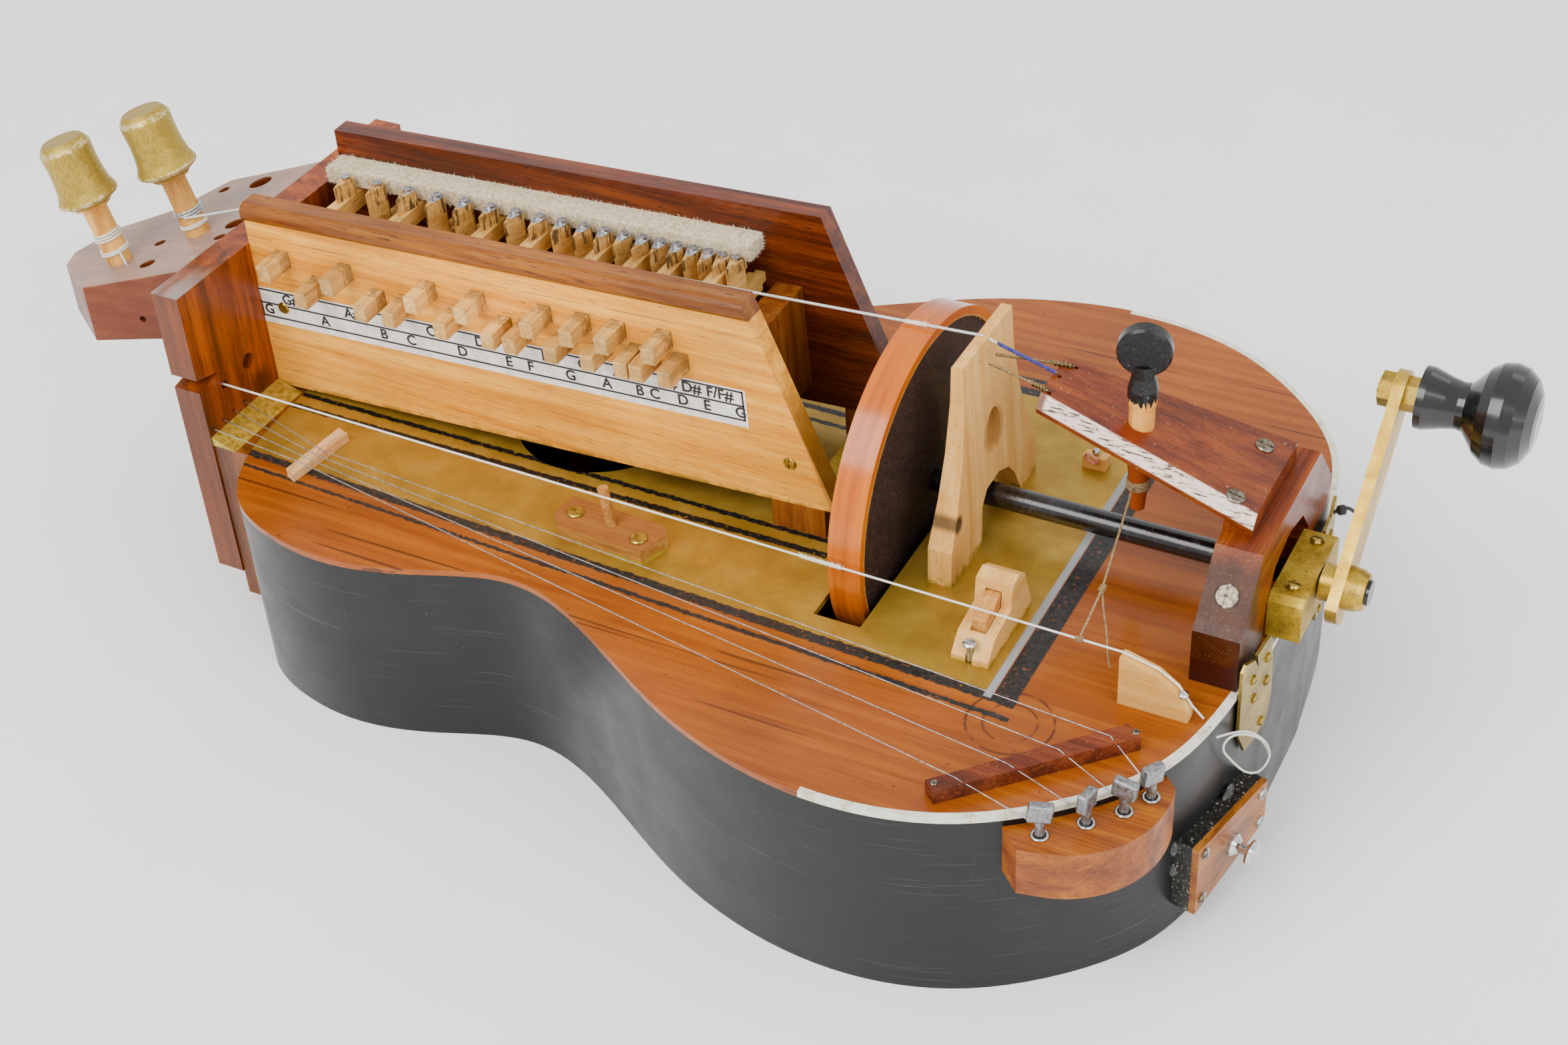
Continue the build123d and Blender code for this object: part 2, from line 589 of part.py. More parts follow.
plates = []
for side in (-1, 1):
    brass = (
        (-17.6, 13), (-14.5, 15.2), (-6, 11.6), (-2, 5), (-3.7, 12.2), (8.7, 13.6), (13, -2),
        (14.9, -22.7), (11.6, -33.8), (0, -37), (-9, -36), (-16.6, -22),
    )
    shape = cross_plate([(-side * y, z) for y, z in brass], (0, 1.4))
    plates.append(brass_place(side) * shape - body_block(0, (-BODY_DEPTH, 0)))
export(group(*plates), "brass_plates")

# ---------------------------------------------------------------- screws, all slotted and all fixed


def screw(at, direction, radius, height):
    """A domed slotted screw head lying on a surface."""
    base = Plane(origin=at, z_dir=direction)
    head = Cylinder(radius, height, align=(Align.CENTER, Align.CENTER, Align.MIN))
    head = chamfer(head.edges().sort_by(Axis.Z)[-1], height * 0.45)
    head -= Pos(0, 0, height) * Box(2 * radius + 1, radius * 0.28, height * 0.8)
    return base * head


screws = []
for along, z in ((-23, -52), (-23, -78), (23, -56), (23, -72)):
    screws.append(screw(on_strap(along, 3, z), strap_out, 2.6, 1.2))
for along, height in ((15, 46), (281, 22)):
    screws.append(screw(box_point(along, FRONT_Y, height), (0, -1, 0), 3, 1))
for x, y in ((457, 17.3), (457, -19.4)):
    screws.append(screw(on_tail(x, y), tail_up, 4, 1))
for x, y in ((176, -74.5), (211, -79.5)):
    screws.append(screw((x, y, 8), (0, 0, 1), 4, 1.2))
for y in (-16, 16):
    screws.append(screw((483, y, 24), (0, 0, 1), 3, 2))
for x, y in ((388.3, -163.4), (448.5, -105.6)):
    screws.append(screw((x + 1.2, y + 0.8, 7), (0, 0, 1), 1.6, 0.7))
near_slope = Vector(0, -(TAIL_TOP - 30), 19).normalized()
slope_z = 30 + (TAIL_TOP - 30) * 7 / 19
screws.append(screw((465.5, -49, slope_z), near_slope, 5, 1.2))
screws.append(screw((370.7, -85.9, 9), (0, 0, 1), 3, 1.8))
screws.append(rod((370.7, -85.9, 1), (370.7, -85.9, 9), 1.3))
for side in (-1, 1):
    for across, z in ((7, 3), (-6, 1), (8, -10), (-3.5, -11), (5.9, -31)):
        place = brass_place(side) * Pos(1.4, -side * across, z)
        outwards = (place * Pos(1, 0, 0)).position - place.position
        screws.append(screw(place.position, outwards, 2.3, 1.2))
export(group(*screws), "wood_screws")


# ---------------------------------------------------------------- strings


def string(points, radius):
    """A tight string: straight runs with a ball at each bend."""
    runs = [rod(a, b, radius) for a, b in zip(points, points[1:])]
    bends = [Pos(*p) * Sphere(radius) for p in points[1:-1]]
    return fuse(*runs, *bends)


def as_tuple(point):
    return (point.X, point.Y, point.Z)


melody_points = [
    as_tuple(on_head(-57.5, -28.2, 11)), MELODY_NUT, MELODY_BRIDGE,
    as_tuple(on_tail(371.6, 2.6, 1.2)),
]
drone_points = [
    (-22, -73.6, 24.2), (192, -78, 25), (434.6, -82, 25), (450, -81.6, 21), (458.4, -81.2, 15),
    (464.4, -81, 6.2), (469, -80.4, 0.8),
]
loops = [
    [(345.4, -8, 92), as_tuple(on_tail(372.2, -9.4, 0.8))],
    [(345.4, -1, 92), as_tuple(on_tail(375.2, 12, 0.8))],
]
twine = [(410, -7.9, 46), (418, -62, 36.5), (416.5, -80.7, 25.9)]
strings = [string(melody_points, STRING_R), string(drone_points, DRONE_R)]
strings += [string(points, 0.5) for points in loops]
head_string = [on_head(-83.6, -49.6, 7), on_head(*HEAD_STRING_HOLE, -1), on_head(*HEAD_STRING_HOLE, -9)]
strings.append(string([as_tuple(point) for point in head_string], STRING_R))
strings.append(string(twine, 0.5))
nut_y = (-90, -86, -82, -78)
wires = []
for number, y in enumerate(nut_y):
    share = (number + 0.5) / 4
    bridge_x = 388 + share * 61
    bridge_y = -164.5 + share * 61
    pin = on_tuner(*TUNER_PLACES[number], -1)
    at_bridge = (bridge_x, bridge_y, 7.3)
    # each wire stops short at the skin of its pin
    wire_end = tuple(a + (b - a) * 0.86 for a, b in zip(at_bridge, pin))
    start = (PLANK_X[1] + 0.1, WIRE_HOLES_Y[number], WIRE_HOLES_Z)
    wire = [start, (38.5 + number * 0.6, y, 4.8), at_bridge, wire_end]
    wires.append(wire)
    strings.append(string(wire, 0.25))
export(group(*strings), "strings")

plank -= string(melody_points[:3], 0.9)
export(plank, "neck_plank")
bridge -= string(melody_points[1:], 0.9)
export(bridge, "main_bridge")
for wire in wires:
    sym_bridge -= string(wire, 0.6)
export(group(nut_stick, sym_bridge), "sympathetic_bridges")


# The spare end of the drone string: a stiff open loop out of a hole in the ribs, knotted there.
LOOP_R = 0.5
LOOP = [
    (474.9, -80.5, -7), (477.6, -75.5, -8.5), (481.5, -64, -15), (484.5, -55, -24),
    (487.5, -47.5, -35), (488.4, -46, -44), (486.2, -53.5, -46.5), (482.8, -63.5, -38.5),
    (479.3, -72.5, -25), (476.9, -78.5, -15), (477.9, -77.5, -9.8), (480.4, -70.5, -11.5),
    (483.6, -58, -22), (486.2, -47.5, -34), (487.3, -43, -46),
]


def loose_cord(points, radius, name):
    """A free cord: straight runs joined by arcs as large as the runs allow."""
    vectors = [Vector(*p) for p in points]
    radii = []
    for a, b, c in zip(vectors, vectors[1:], vectors[2:]):
        half_turn = math.radians((b - a).get_angle(c - b)) / 2
        radii.append(0.45 * min((b - a).length, (c - b).length) / math.tan(half_turn))
    print(name, "bend radii", [round(r, 1) for r in radii])
    path = FilletPolyline(*points, radius=radii)
    start = path % 0
    tube = sweep(Plane(origin=points[0], z_dir=start) * Circle(radius), path=path)
    ratio = tube.volume / (math.pi * radius**2 * path.length)
    print(name, "length", round(path.length, 1), "volume ratio", round(ratio, 3))
    return tube


export(loose_cord(LOOP, LOOP_R, "drone_string_end"), "drone_string_end")
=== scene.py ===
import math
import random

import bpy
from mathutils import Matrix, Vector, noise


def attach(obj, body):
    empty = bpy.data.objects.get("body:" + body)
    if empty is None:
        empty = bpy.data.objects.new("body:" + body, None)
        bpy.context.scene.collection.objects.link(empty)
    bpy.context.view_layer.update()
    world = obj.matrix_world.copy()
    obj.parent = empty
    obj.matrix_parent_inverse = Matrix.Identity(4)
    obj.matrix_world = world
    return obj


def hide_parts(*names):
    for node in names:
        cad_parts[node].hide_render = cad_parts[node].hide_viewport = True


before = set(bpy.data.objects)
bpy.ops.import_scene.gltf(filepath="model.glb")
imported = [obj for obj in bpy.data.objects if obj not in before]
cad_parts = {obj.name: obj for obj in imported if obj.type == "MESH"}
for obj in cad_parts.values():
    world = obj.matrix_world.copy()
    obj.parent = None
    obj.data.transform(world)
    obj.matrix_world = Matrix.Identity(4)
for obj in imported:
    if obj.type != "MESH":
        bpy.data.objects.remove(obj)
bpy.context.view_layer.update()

# Lengths below are millimetres in the drawing frame: x from the neck end of the body towards the
# crank, y across, z up from the soundboard. place() turns them into metres in the row's frame.
BODY_LENGTH = 480
BODY_DEPTH = 98

# The keybox stands on a line that starts at its foot and climbs towards the wheel.
BOX_PITCH = math.radians(2.64)
BOX_FOOT_X, BOX_FOOT_Z = -14.3, 1.7
LABEL_Y = -37.62  # just in front of the front wall's outer face

# The headstock leans back; its pegs stand square to it.
HEAD_LEAN = math.radians(16.6)
HEAD_UP = Vector((-math.sin(HEAD_LEAN), 0, math.cos(HEAD_LEAN)))
HEAD_TOP_X, HEAD_TOP_Z = -29, 76

# The tailpiece slopes down and widens from its bridge end to the tail block.
TAIL_BRIDGE_X, TAIL_END_X = 369.8, 467.5
TAIL_LOW_Z, TAIL_HIGH_Z = 62, 86.1
TAIL_SLOPE = (TAIL_HIGH_Z - TAIL_LOW_Z) / (TAIL_END_X - TAIL_BRIDGE_X)
TAIL_NARROW_Y, TAIL_WIDE_Y = 16, 28  # half widths at its two ends

WHEEL_Z = 17.5
WHEEL_CORE = 73  # radius where the rim's band starts

TROMPETTE_X, TROMPETTE_Y = 410.5, -2.4

KEY_COUNT = 19
OCTAVE = 12  # semitones


def place(x, y, z):
    return Vector(((x - BODY_LENGTH / 2) / 1000, y / 1000, (z + BODY_DEPTH) / 1000))


# ---------------------------------------------------------------- camera
CAMERA_AT = (670.583, -764.458, 663.940)
CAMERA_AZIMUTH = math.radians(29.433)
CAMERA_ELEVATION = math.radians(38.403)
CAMERA_ROLL = math.radians(-3.695)
CAMERA_LENS = 55.52


def make_camera():
    back = Vector(
        (
            math.sin(CAMERA_AZIMUTH) * math.cos(CAMERA_ELEVATION),
            -math.cos(CAMERA_AZIMUTH) * math.cos(CAMERA_ELEVATION),
            math.sin(CAMERA_ELEVATION),
        )
    )
    right = Vector((0, 0, 1)).cross(back).normalized()
    up = back.cross(right)
    c, s = math.cos(CAMERA_ROLL), math.sin(CAMERA_ROLL)
    right, up = c * right + s * up, -s * right + c * up
    data = bpy.data.cameras.new("camera")
    data.lens = CAMERA_LENS
    data.sensor_width = 36
    data.sensor_fit = "HORIZONTAL"
    data.clip_start = 0.01
    data.clip_end = 50
    camera = bpy.data.objects.new("camera", data)
    turn = Matrix((right, up, back)).transposed().to_4x4()
    camera.matrix_world = Matrix.Translation(place(*CAMERA_AT)) @ turn
    bpy.context.collection.objects.link(camera)
    bpy.context.scene.camera = camera


make_camera()


# ---------------------------------------------------------------- the loose cord
# The route of the drone string's spare end, from its exit.
DRONE_LOOP = [
    (474.9, -80.5, -7), (477.6, -75.5, -8.5), (481.5, -64, -15), (484.5, -55, -24),
    (487.5, -47.5, -35), (488.4, -46, -44), (486.2, -53.5, -46.5), (482.8, -63.5, -38.5),
    (479.3, -72.5, -25), (476.9, -78.5, -15), (477.9, -77.5, -9.8), (480.4, -70.5, -11.5),
    (483.6, -58, -22), (486.2, -47.5, -34), (487.3, -43, -46),
]


def line(name, points, radius, material, body="body", cyclic=False):
    """A round wire or string through points in millimetres."""
    data = bpy.data.curves.new(name, "CURVE")
    data.dimensions = "3D"
    data.bevel_depth = radius / 1000
    data.bevel_resolution = 3
    data.resolution_u = 6
    data.use_fill_caps = True
    spline = data.splines.new("NURBS")
    spline.points.add(len(points) - 1)
    for point, at in zip(spline.points, points):
        point.co = (*place(*at), 1)
    spline.order_u = 3
    spline.use_endpoint_u = not cyclic
    spline.use_cyclic_u = cyclic
    piece = bpy.data.objects.new(name, data)
    bpy.context.collection.objects.link(piece)
    data.materials.append(material.mat)
    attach(piece, body)
    return piece


# ---------------------------------------------------------------- materials
RICHER = 1.12  # how much stronger than on screen the colours are set


def rgb(code):
    """Linear colour from a six-digit screen colour, made a little richer."""
    parts = [int(code[i : i + 2], 16) / 255 for i in (0, 2, 4)]
    linear = [v / 12.92 if v <= 0.04045 else ((v + 0.055) / 1.055) ** 2.4 for v in parts]
    grey = 0.21 * linear[0] + 0.72 * linear[1] + 0.07 * linear[2]
    return tuple(min(1, max(0.002, grey + (v - grey) * RICHER)) for v in linear) + (1,)


class Shader:
    """Builds one procedural material, node by node, in the row's own coordinates."""

    def __init__(self, name, rough=0.5, metal=0.0, coat=0.0, coat_rough=0.08):
        self.mat = bpy.data.materials.new(name)
        self.mat.use_nodes = True
        self.tree = self.mat.node_tree
        self.bsdf = self.tree.nodes["Principled BSDF"]
        self.bsdf.inputs["Roughness"].default_value = rough
        self.bsdf.inputs["Metallic"].default_value = metal
        self.bsdf.inputs["Coat Weight"].default_value = coat
        self.bsdf.inputs["Coat Roughness"].default_value = coat_rough
        coords = self.tree.nodes.new("ShaderNodeTexCoord")
        self.at = coords.outputs["Object"]
        split = self.tree.nodes.new("ShaderNodeSeparateXYZ")
        self.tree.links.new(self.at, split.inputs[0])
        # the same drawing frame as above, in millimetres
        self.x = self.calc("MULTIPLY_ADD", split.outputs[0], 1000, BODY_LENGTH / 2)
        self.y = self.calc("MULTIPLY", split.outputs[1], 1000)
        self.z = self.calc("MULTIPLY_ADD", split.outputs[2], 1000, -BODY_DEPTH)

    def put(self, socket, value):
        if isinstance(value, bpy.types.NodeSocket):
            self.tree.links.new(value, socket)
        else:
            socket.default_value = value

    def calc(self, kind, a, b=0.0, c=0.0):
        node = self.tree.nodes.new("ShaderNodeMath")
        node.operation = kind
        for socket, value in zip(node.inputs, (a, b, c)):
            self.put(socket, value)
        return node.outputs[0]

    def noise(self, scale, detail=4, rough=0.55, distort=0.0):
        """scale is one number, or one per axis, in features per millimetre."""
        mapping = self.tree.nodes.new("ShaderNodeMapping")
        self.put(mapping.inputs["Vector"], self.at)
        scales = scale if isinstance(scale, (tuple, list)) else (scale,) * 3
        mapping.inputs["Scale"].default_value = [v * 1000 for v in scales]
        node = self.tree.nodes.new("ShaderNodeTexNoise")
        self.put(node.inputs["Vector"], mapping.outputs[0])
        node.inputs["Scale"].default_value = 1
        node.inputs["Detail"].default_value = detail
        node.inputs["Roughness"].default_value = rough
        node.inputs["Distortion"].default_value = distort
        return node.outputs["Fac"]

    def levels(self, value, low, high, to_low=0.0, to_high=1.0):
        node = self.tree.nodes.new("ShaderNodeMapRange")
        self.put(node.inputs["Value"], value)
        node.inputs["From Min"].default_value = low
        node.inputs["From Max"].default_value = high
        node.inputs["To Min"].default_value = to_low
        node.inputs["To Max"].default_value = to_high
        return node.outputs[0]

    def ramp(self, value, *stops):
        node = self.tree.nodes.new("ShaderNodeValToRGB")
        self.put(node.inputs[0], value)
        ramp = node.color_ramp
        while len(ramp.elements) < len(stops):
            ramp.elements.new(0.5)
        for element, (where, code) in zip(ramp.elements, stops):
            element.position = where
            element.color = rgb(code)
        return node.outputs[0]

    def mix(self, share, a, b, kind="MIX"):
        node = self.tree.nodes.new("ShaderNodeMix")
        node.data_type = "RGBA"
        node.blend_type = kind
        self.put(node.inputs["Factor"], share)
        self.put(node.inputs[6], a)
        self.put(node.inputs[7], b)
        return node.outputs[2]

    def blend(self, share, a, b):
        """Number a where share is 0 and b where it is 1."""
        node = self.tree.nodes.new("ShaderNodeMix")
        node.data_type = "FLOAT"
        self.put(node.inputs[0], share)
        self.put(node.inputs[2], a)
        self.put(node.inputs[3], b)
        return node.outputs[0]

    def above(self, value, edge, soft=0.2):
        """1 where value is over edge, 0 where it is under."""
        return self.levels(value, edge - soft, edge + soft)

    def between(self, value, low, high, soft=0.2):
        return self.calc("MULTIPLY", self.above(value, low, soft), self.below(value, high, soft))

    def below(self, value, edge, soft=0.2):
        return self.levels(value, edge - soft, edge + soft, 1.0, 0.0)

    def both(self, *masks):
        found = masks[0]
        for mask in masks[1:]:
            found = self.calc("MULTIPLY", found, mask)
        return found

    def either(self, *masks):
        found = masks[0]
        for mask in masks[1:]:
            found = self.calc("MAXIMUM", found, mask)
        return found

    def distance(self, x=None, y=None, z=None):
        """How far a point is from an axis or a place, in millimetres."""
        total = None
        for value, middle in ((self.x, x), (self.y, y), (self.z, z)):
            if middle is None:
                continue
            away = self.calc("SUBTRACT", value, middle)
            square = self.calc("MULTIPLY", away, away)
            total = square if total is None else self.calc("ADD", total, square)
        return self.calc("SQRT", total)

    def bump(self, value, strength, depth=0.3):
        node = self.tree.nodes.new("ShaderNodeBump")
        node.inputs["Strength"].default_value = strength
        node.inputs["Distance"].default_value = depth / 1000
        self.put(node.inputs["Height"], value)
        if self.bsdf.inputs["Normal"].is_linked:
            self.put(node.inputs["Normal"], self.bsdf.inputs["Normal"].links[0].from_socket)
        self.put(self.bsdf.inputs["Normal"], node.outputs[0])

    def color(self, value):
        self.put(self.bsdf.inputs["Base Color"], value)

    def current(self):
        return self.bsdf.inputs["Base Color"].links[0].from_socket

    def over(self, mask, color):
        """Lays a colour, a code or a socket, over what is there."""
        self.color(self.mix(mask, self.current(), rgb(color) if isinstance(color, str) else color))

    def rough(self, value):
        self.put(self.bsdf.inputs["Roughness"], value)

    def metal(self, value):
        self.put(self.bsdf.inputs["Metallic"], value)

    def specks(self, scale, share):
        """Small separate spots over about that share of the surface."""
        return self.above(self.noise(scale, 1, 0.4), 0.5 + 0.3 * (1 - share), 0.03)


def grain_scale(grain, along, across):
    return tuple(along if axis == grain else across for axis in "XYZ")


def wood(
    name, dark, middle, light, grain="X", rough=0.42, coat=0.3, pores=0.5, bump=0.25, size=1.0,
    fleck="2a1408", blotch=0.35, depth=0.8,
):
    """Varnished or bare wood with its grain along one axis; depth scales how light it is."""
    s = Shader(name, rough, coat=coat * 0.4, coat_rough=0.12)
    s.bsdf.inputs["Specular IOR Level"].default_value = 0.3
    bands = s.noise(grain_scale(grain, 0.006 / size, 0.13 / size), 3, 0.5, 0.5)
    fibre = s.noise(grain_scale(grain, 0.03 / size, 0.9 / size), 5, 0.6)
    fine = s.noise(grain_scale(grain, 0.12 / size, 3.2 / size), 2, 0.5)
    value = s.calc("ADD", s.calc("MULTIPLY", bands, 0.62), s.calc("MULTIPLY", fibre, 0.38))
    s.color(s.ramp(value, (0.36, dark), (0.5, middle), (0.62, light)))
    s.color(s.mix(1.0, s.current(), (depth, depth * 0.95, depth * 0.66, 1), "MULTIPLY"))
    patches = s.levels(s.noise(0.014, 3), 0.3, 0.7, 1 - blotch, 1 + blotch * 0.6)
    shade = s.tree.nodes.new("ShaderNodeHueSaturation")
    s.put(shade.inputs["Color"], s.current())
    s.put(shade.inputs["Value"], patches)
    s.color(shade.outputs[0])
    streak = s.above(s.noise(grain_scale(grain, 0.11 / size, 1.7 / size), 2, 0.4), 0.66, 0.03)
    s.over(s.calc("MULTIPLY", streak, pores), fleck)
    s.rough(s.levels(s.noise(0.05, 4), 0.3, 0.7, rough * 0.8, rough * 1.3))
    relief = s.calc("SUBTRACT", s.calc("ADD", fibre, fine), s.calc("MULTIPLY", streak, 0.8))
    s.bump(relief, bump, 0.25)
    return s


def painted_metal(name, dark, middle, light, rough=0.35, metal=0.9, bump=0.25, coat=0.0):
    """Gold or bronze paint, or cast metal, with brush marks and small pits."""
    s = Shader(name, rough, metal, coat)
    cloud = s.noise(0.09, 5, 0.6)
    grit = s.noise(1.6, 3, 0.6)
    value = s.calc("ADD", s.calc("MULTIPLY", cloud, 0.6), s.calc("MULTIPLY", grit, 0.4))
    s.color(s.ramp(value, (0.34, dark), (0.5, middle), (0.66, light)))
    s.rough(s.levels(grit, 0.3, 0.7, rough * 0.7, rough * 1.5))
    s.bump(grit, bump, 0.2)
    return s


def all_slots(node, shader):
    """Gives every material slot of a CAD node this material."""
    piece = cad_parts[node]
    for place_slot in piece.material_slots:
        place_slot.link = "OBJECT"
        place_slot.material = shader.mat


def stripe(s, near, far, soft=0.25, jitter=0.5):
    """A mask between two straight lines, each through two places (x, y), on both halves."""
    wobble = s.levels(s.noise(0.35, 3), 0.3, 0.7, -jitter, jitter)
    half_y = s.calc("ADD", s.calc("ABSOLUTE", s.y), wobble)
    masks = []
    for (x0, y0), (x1, y1) in (near, far):
        slope = (y1 - y0) / (x1 - x0)
        edge = s.calc("MULTIPLY_ADD", s.x, slope, y0 - slope * x0)
        masks.append(s.above(s.calc("SUBTRACT", half_y, edge), 0, soft))
    return s.calc("SUBTRACT", masks[0], masks[1])


def level_line(y):
    """A line for stripe() that stays at one distance from the middle."""
    return (0, y), (1, y)


# Painted lines on the soundboard, each through two places (x, y).
GOLD_EDGE = ((2, 85.5), (386, 98.9))
BORDER_EDGE = ((3.3, 90), (398, 104.9))
THIN_INSIDE = ((5.4, 95.3), (399, 110.5))
THIN_OUTSIDE = ((7.6, 97.2), (398, 113.2))
GOLD_END = 385.5
BORDER_END = 398
THIN_END = 399
INNER_LINES_END = 287
RING_MARKS = (400, -113)  # middle of the two dark ring marks


def make_soundboard():
    s = wood(
        "soundboard", "8a4719", "9c5523", "a9632c", rough=0.3, coat=0.3, pores=0.25, bump=0.06,
        fleck="4a220c", blotch=0.22, size=0.6, depth=0.8,
    )
    rings = s.distance(*RING_MARKS)
    ring_marks = s.either(s.between(rings, 17.4, 18.4, 0.4), s.between(rings, 10.6, 11.4, 0.4))
    broken = s.above(s.noise(0.16, 2), 0.46, 0.05)
    s.over(s.both(ring_marks, broken, s.below(rings, 20)), "4a220d")
    cracks = s.above(s.noise((0.004, 0.22, 0.2), 2, 0.4), 0.69, 0.004)
    s.over(s.calc("MULTIPLY", cracks, 0.75), "3a1a0a")
    s.over(s.calc("MULTIPLY", s.specks(0.35, 0.05), 0.7), "3a1c0c")
    # the gold band under the strings, with its painted border
    gold_noise = s.noise(0.05, 4, 0.6)
    gold_color = s.ramp(gold_noise, (0.3, "917233"), (0.5, "a3833d"), (0.68, "b2934c"))
    gold_color = s.mix(s.calc("MULTIPLY", s.specks(0.9, 0.1), 0.8), gold_color, rgb("3c3214"))
    inner_x = s.below(s.x, GOLD_END)
    gold = s.both(stripe(s, level_line(0), GOLD_EDGE, jitter=0.15), inner_x)
    middle_gold = s.both(s.below(s.calc("ABSOLUTE", s.y), 60, 0.5), inner_x)
    gold = s.either(gold, middle_gold)
    s.over(gold, gold_color)
    black = s.ramp(s.noise(0.4, 4), (0.3, "0f0e0e"), (0.7, "2c2a29"))
    border = s.both(stripe(s, GOLD_EDGE, BORDER_EDGE), s.below(s.x, BORDER_END))
    thin = s.both(stripe(s, THIN_INSIDE, THIN_OUTSIDE), s.below(s.x, THIN_END))
    inner = s.both(stripe(s, level_line(46.5), level_line(50)), s.below(s.x, INNER_LINES_END))
    inner_b = s.both(stripe(s, level_line(37.7), level_line(40.5)), s.below(s.x, INNER_LINES_END))
    inside_end = stripe(s, level_line(-9), ((2, 88), (398, 103)))
    end = s.both(s.between(s.x, 387.6, 397.6, 0.3), inside_end)
    paint = s.either(border, thin, inner, inner_b, end)
    worn = s.above(s.noise(0.5, 3), 0.34, 0.05)
    s.over(s.both(paint, worn), black)
    grey = s.both(s.between(s.x, 383.8, 387.2, 0.3), inside_end)
    s.over(grey, "8f9294")
    flat = s.either(gold, paint, grey)
    s.metal(s.calc("MULTIPLY", s.both(gold, s.below(s.x, 384)), 0.55))
    s.rough(s.blend(flat, 0.28, 0.42))
    return s


def make_sides(name):
    s = Shader(name, 0.4, coat=0.08, coat_rough=0.2)
    s.bsdf.inputs["Specular IOR Level"].default_value = 0.3
    cloud = s.noise(0.012, 5, 0.6)
    s.color(s.ramp(cloud, (0.3, "070808"), (0.55, "0e0f10"), (0.75, "16181a")))
    dust = s.both(s.specks(0.8, 0.12), s.above(s.noise(0.01, 2), 0.52, 0.06))
    s.over(s.calc("MULTIPLY", dust, 0.35), "6d6a60")
    scratch = s.above(s.noise((0.02, 0.02, 0.9), 2, 0.4), 0.7, 0.02)
    s.over(s.calc("MULTIPLY", scratch, 0.25), "4a4d52")
    s.rough(s.levels(s.noise(0.04, 4), 0.3, 0.7, 0.26, 0.42))
    s.bump(s.noise(0.12, 3), 0.12, 0.5)
    s.bump(s.noise(0.9, 2), 0.05, 0.1)
    return s


def make_binding():
    s = Shader("edge_binding", 0.55)
    s.color(s.ramp(s.noise(0.2, 5, 0.6), (0.3, "b9b49b"), (0.45, "d6d5c2"), (0.7, "e6e6da")))
    s.over(s.calc("MULTIPLY", s.specks(0.5, 0.12), 0.8), "4b4437")
    s.bump(s.noise(0.5, 4), 0.5, 0.5)
    return s


def make_wheel():
    s = Shader("wheel", 0.3, coat=0.12, coat_rough=0.1)
    s.bsdf.inputs["Specular IOR Level"].default_value = 0.35
    radius = s.distance(None, 0, WHEEL_Z)
    angle = s.calc("ARCTAN2", s.calc("SUBTRACT", s.z, WHEEL_Z), s.y)
    streaks = s.noise((0.25, 0.015, 0.015), 3, 0.45)
    sweep = s.calc("SINE", s.calc("MULTIPLY", angle, 5))
    value = s.calc("ADD", s.calc("MULTIPLY", streaks, 0.8), s.calc("MULTIPLY", sweep, 0.06))
    rim_color = s.ramp(value, (0.2, "96480c"), (0.42, "b96212"), (0.7, "cf7a1e"))
    jag = s.levels(s.noise(0.6, 3), 0.3, 0.7, -0.7, 0.7)
    ragged = s.calc("ADD", radius, jag)
    core = s.below(ragged, WHEEL_CORE, 0.15)
    fuzz = s.noise((1.2, 0.5, 0.9), 5, 0.75)
    core_color = s.ramp(fuzz, (0.38, "120a06"), (0.5, "25140d"), (0.66, "4a3529"))
    glue = s.between(ragged, WHEEL_CORE - 0.2, WHEEL_CORE + 0.8, 0.15)
    s.color(s.mix(core, rim_color, core_color))
    s.over(s.calc("MULTIPLY", glue, 0.8), "b98b4c")
    s.rough(s.blend(core, 0.2, 0.75))
    s.bump(s.calc("MULTIPLY", fuzz, core), 0.6, 0.5)
    return s


def make_gold_peg(name, base):
    """Beech peg with a gold-painted knob, worn bare on its widest rings."""
    s = wood(
        name, "b07a42", "cf9d62", "e2b981", grain="Z", rough=0.5, coat=0.05, pores=0.2, bump=0.2,
        depth=1.05,
    )
    up_x = s.calc("MULTIPLY", s.calc("SUBTRACT", s.x, base[0]), -math.sin(HEAD_LEAN))
    up_z = s.calc("MULTIPLY", s.calc("SUBTRACT", s.z, base[2]), math.cos(HEAD_LEAN))
    height = s.calc("ADD", up_x, up_z)
    jag = s.calc("ADD", height, s.levels(s.noise(0.5, 3), 0.3, 0.7, -1, 1))
    brush = s.noise((2.2, 2.2, 0.12), 4, 0.7)
    gold = s.ramp(brush, (0.3, "826c2c"), (0.5, "a38a43"), (0.7, "bda765"))
    mask = s.above(jag, 31.5, 0.4)
    s.over(mask, gold)
    edges = s.either(s.between(jag, 60, 62.5, 0.6), s.between(jag, 33.8, 36.2, 0.6))
    s.over(s.both(edges, s.above(s.noise(0.4, 3), 0.47, 0.06), mask), "c9b98a")
    s.metal(s.calc("MULTIPLY", mask, 0.6))
    s.rough(s.blend(mask, 0.5, 0.42))
    s.bump(brush, 0.3, 0.3)
    return s


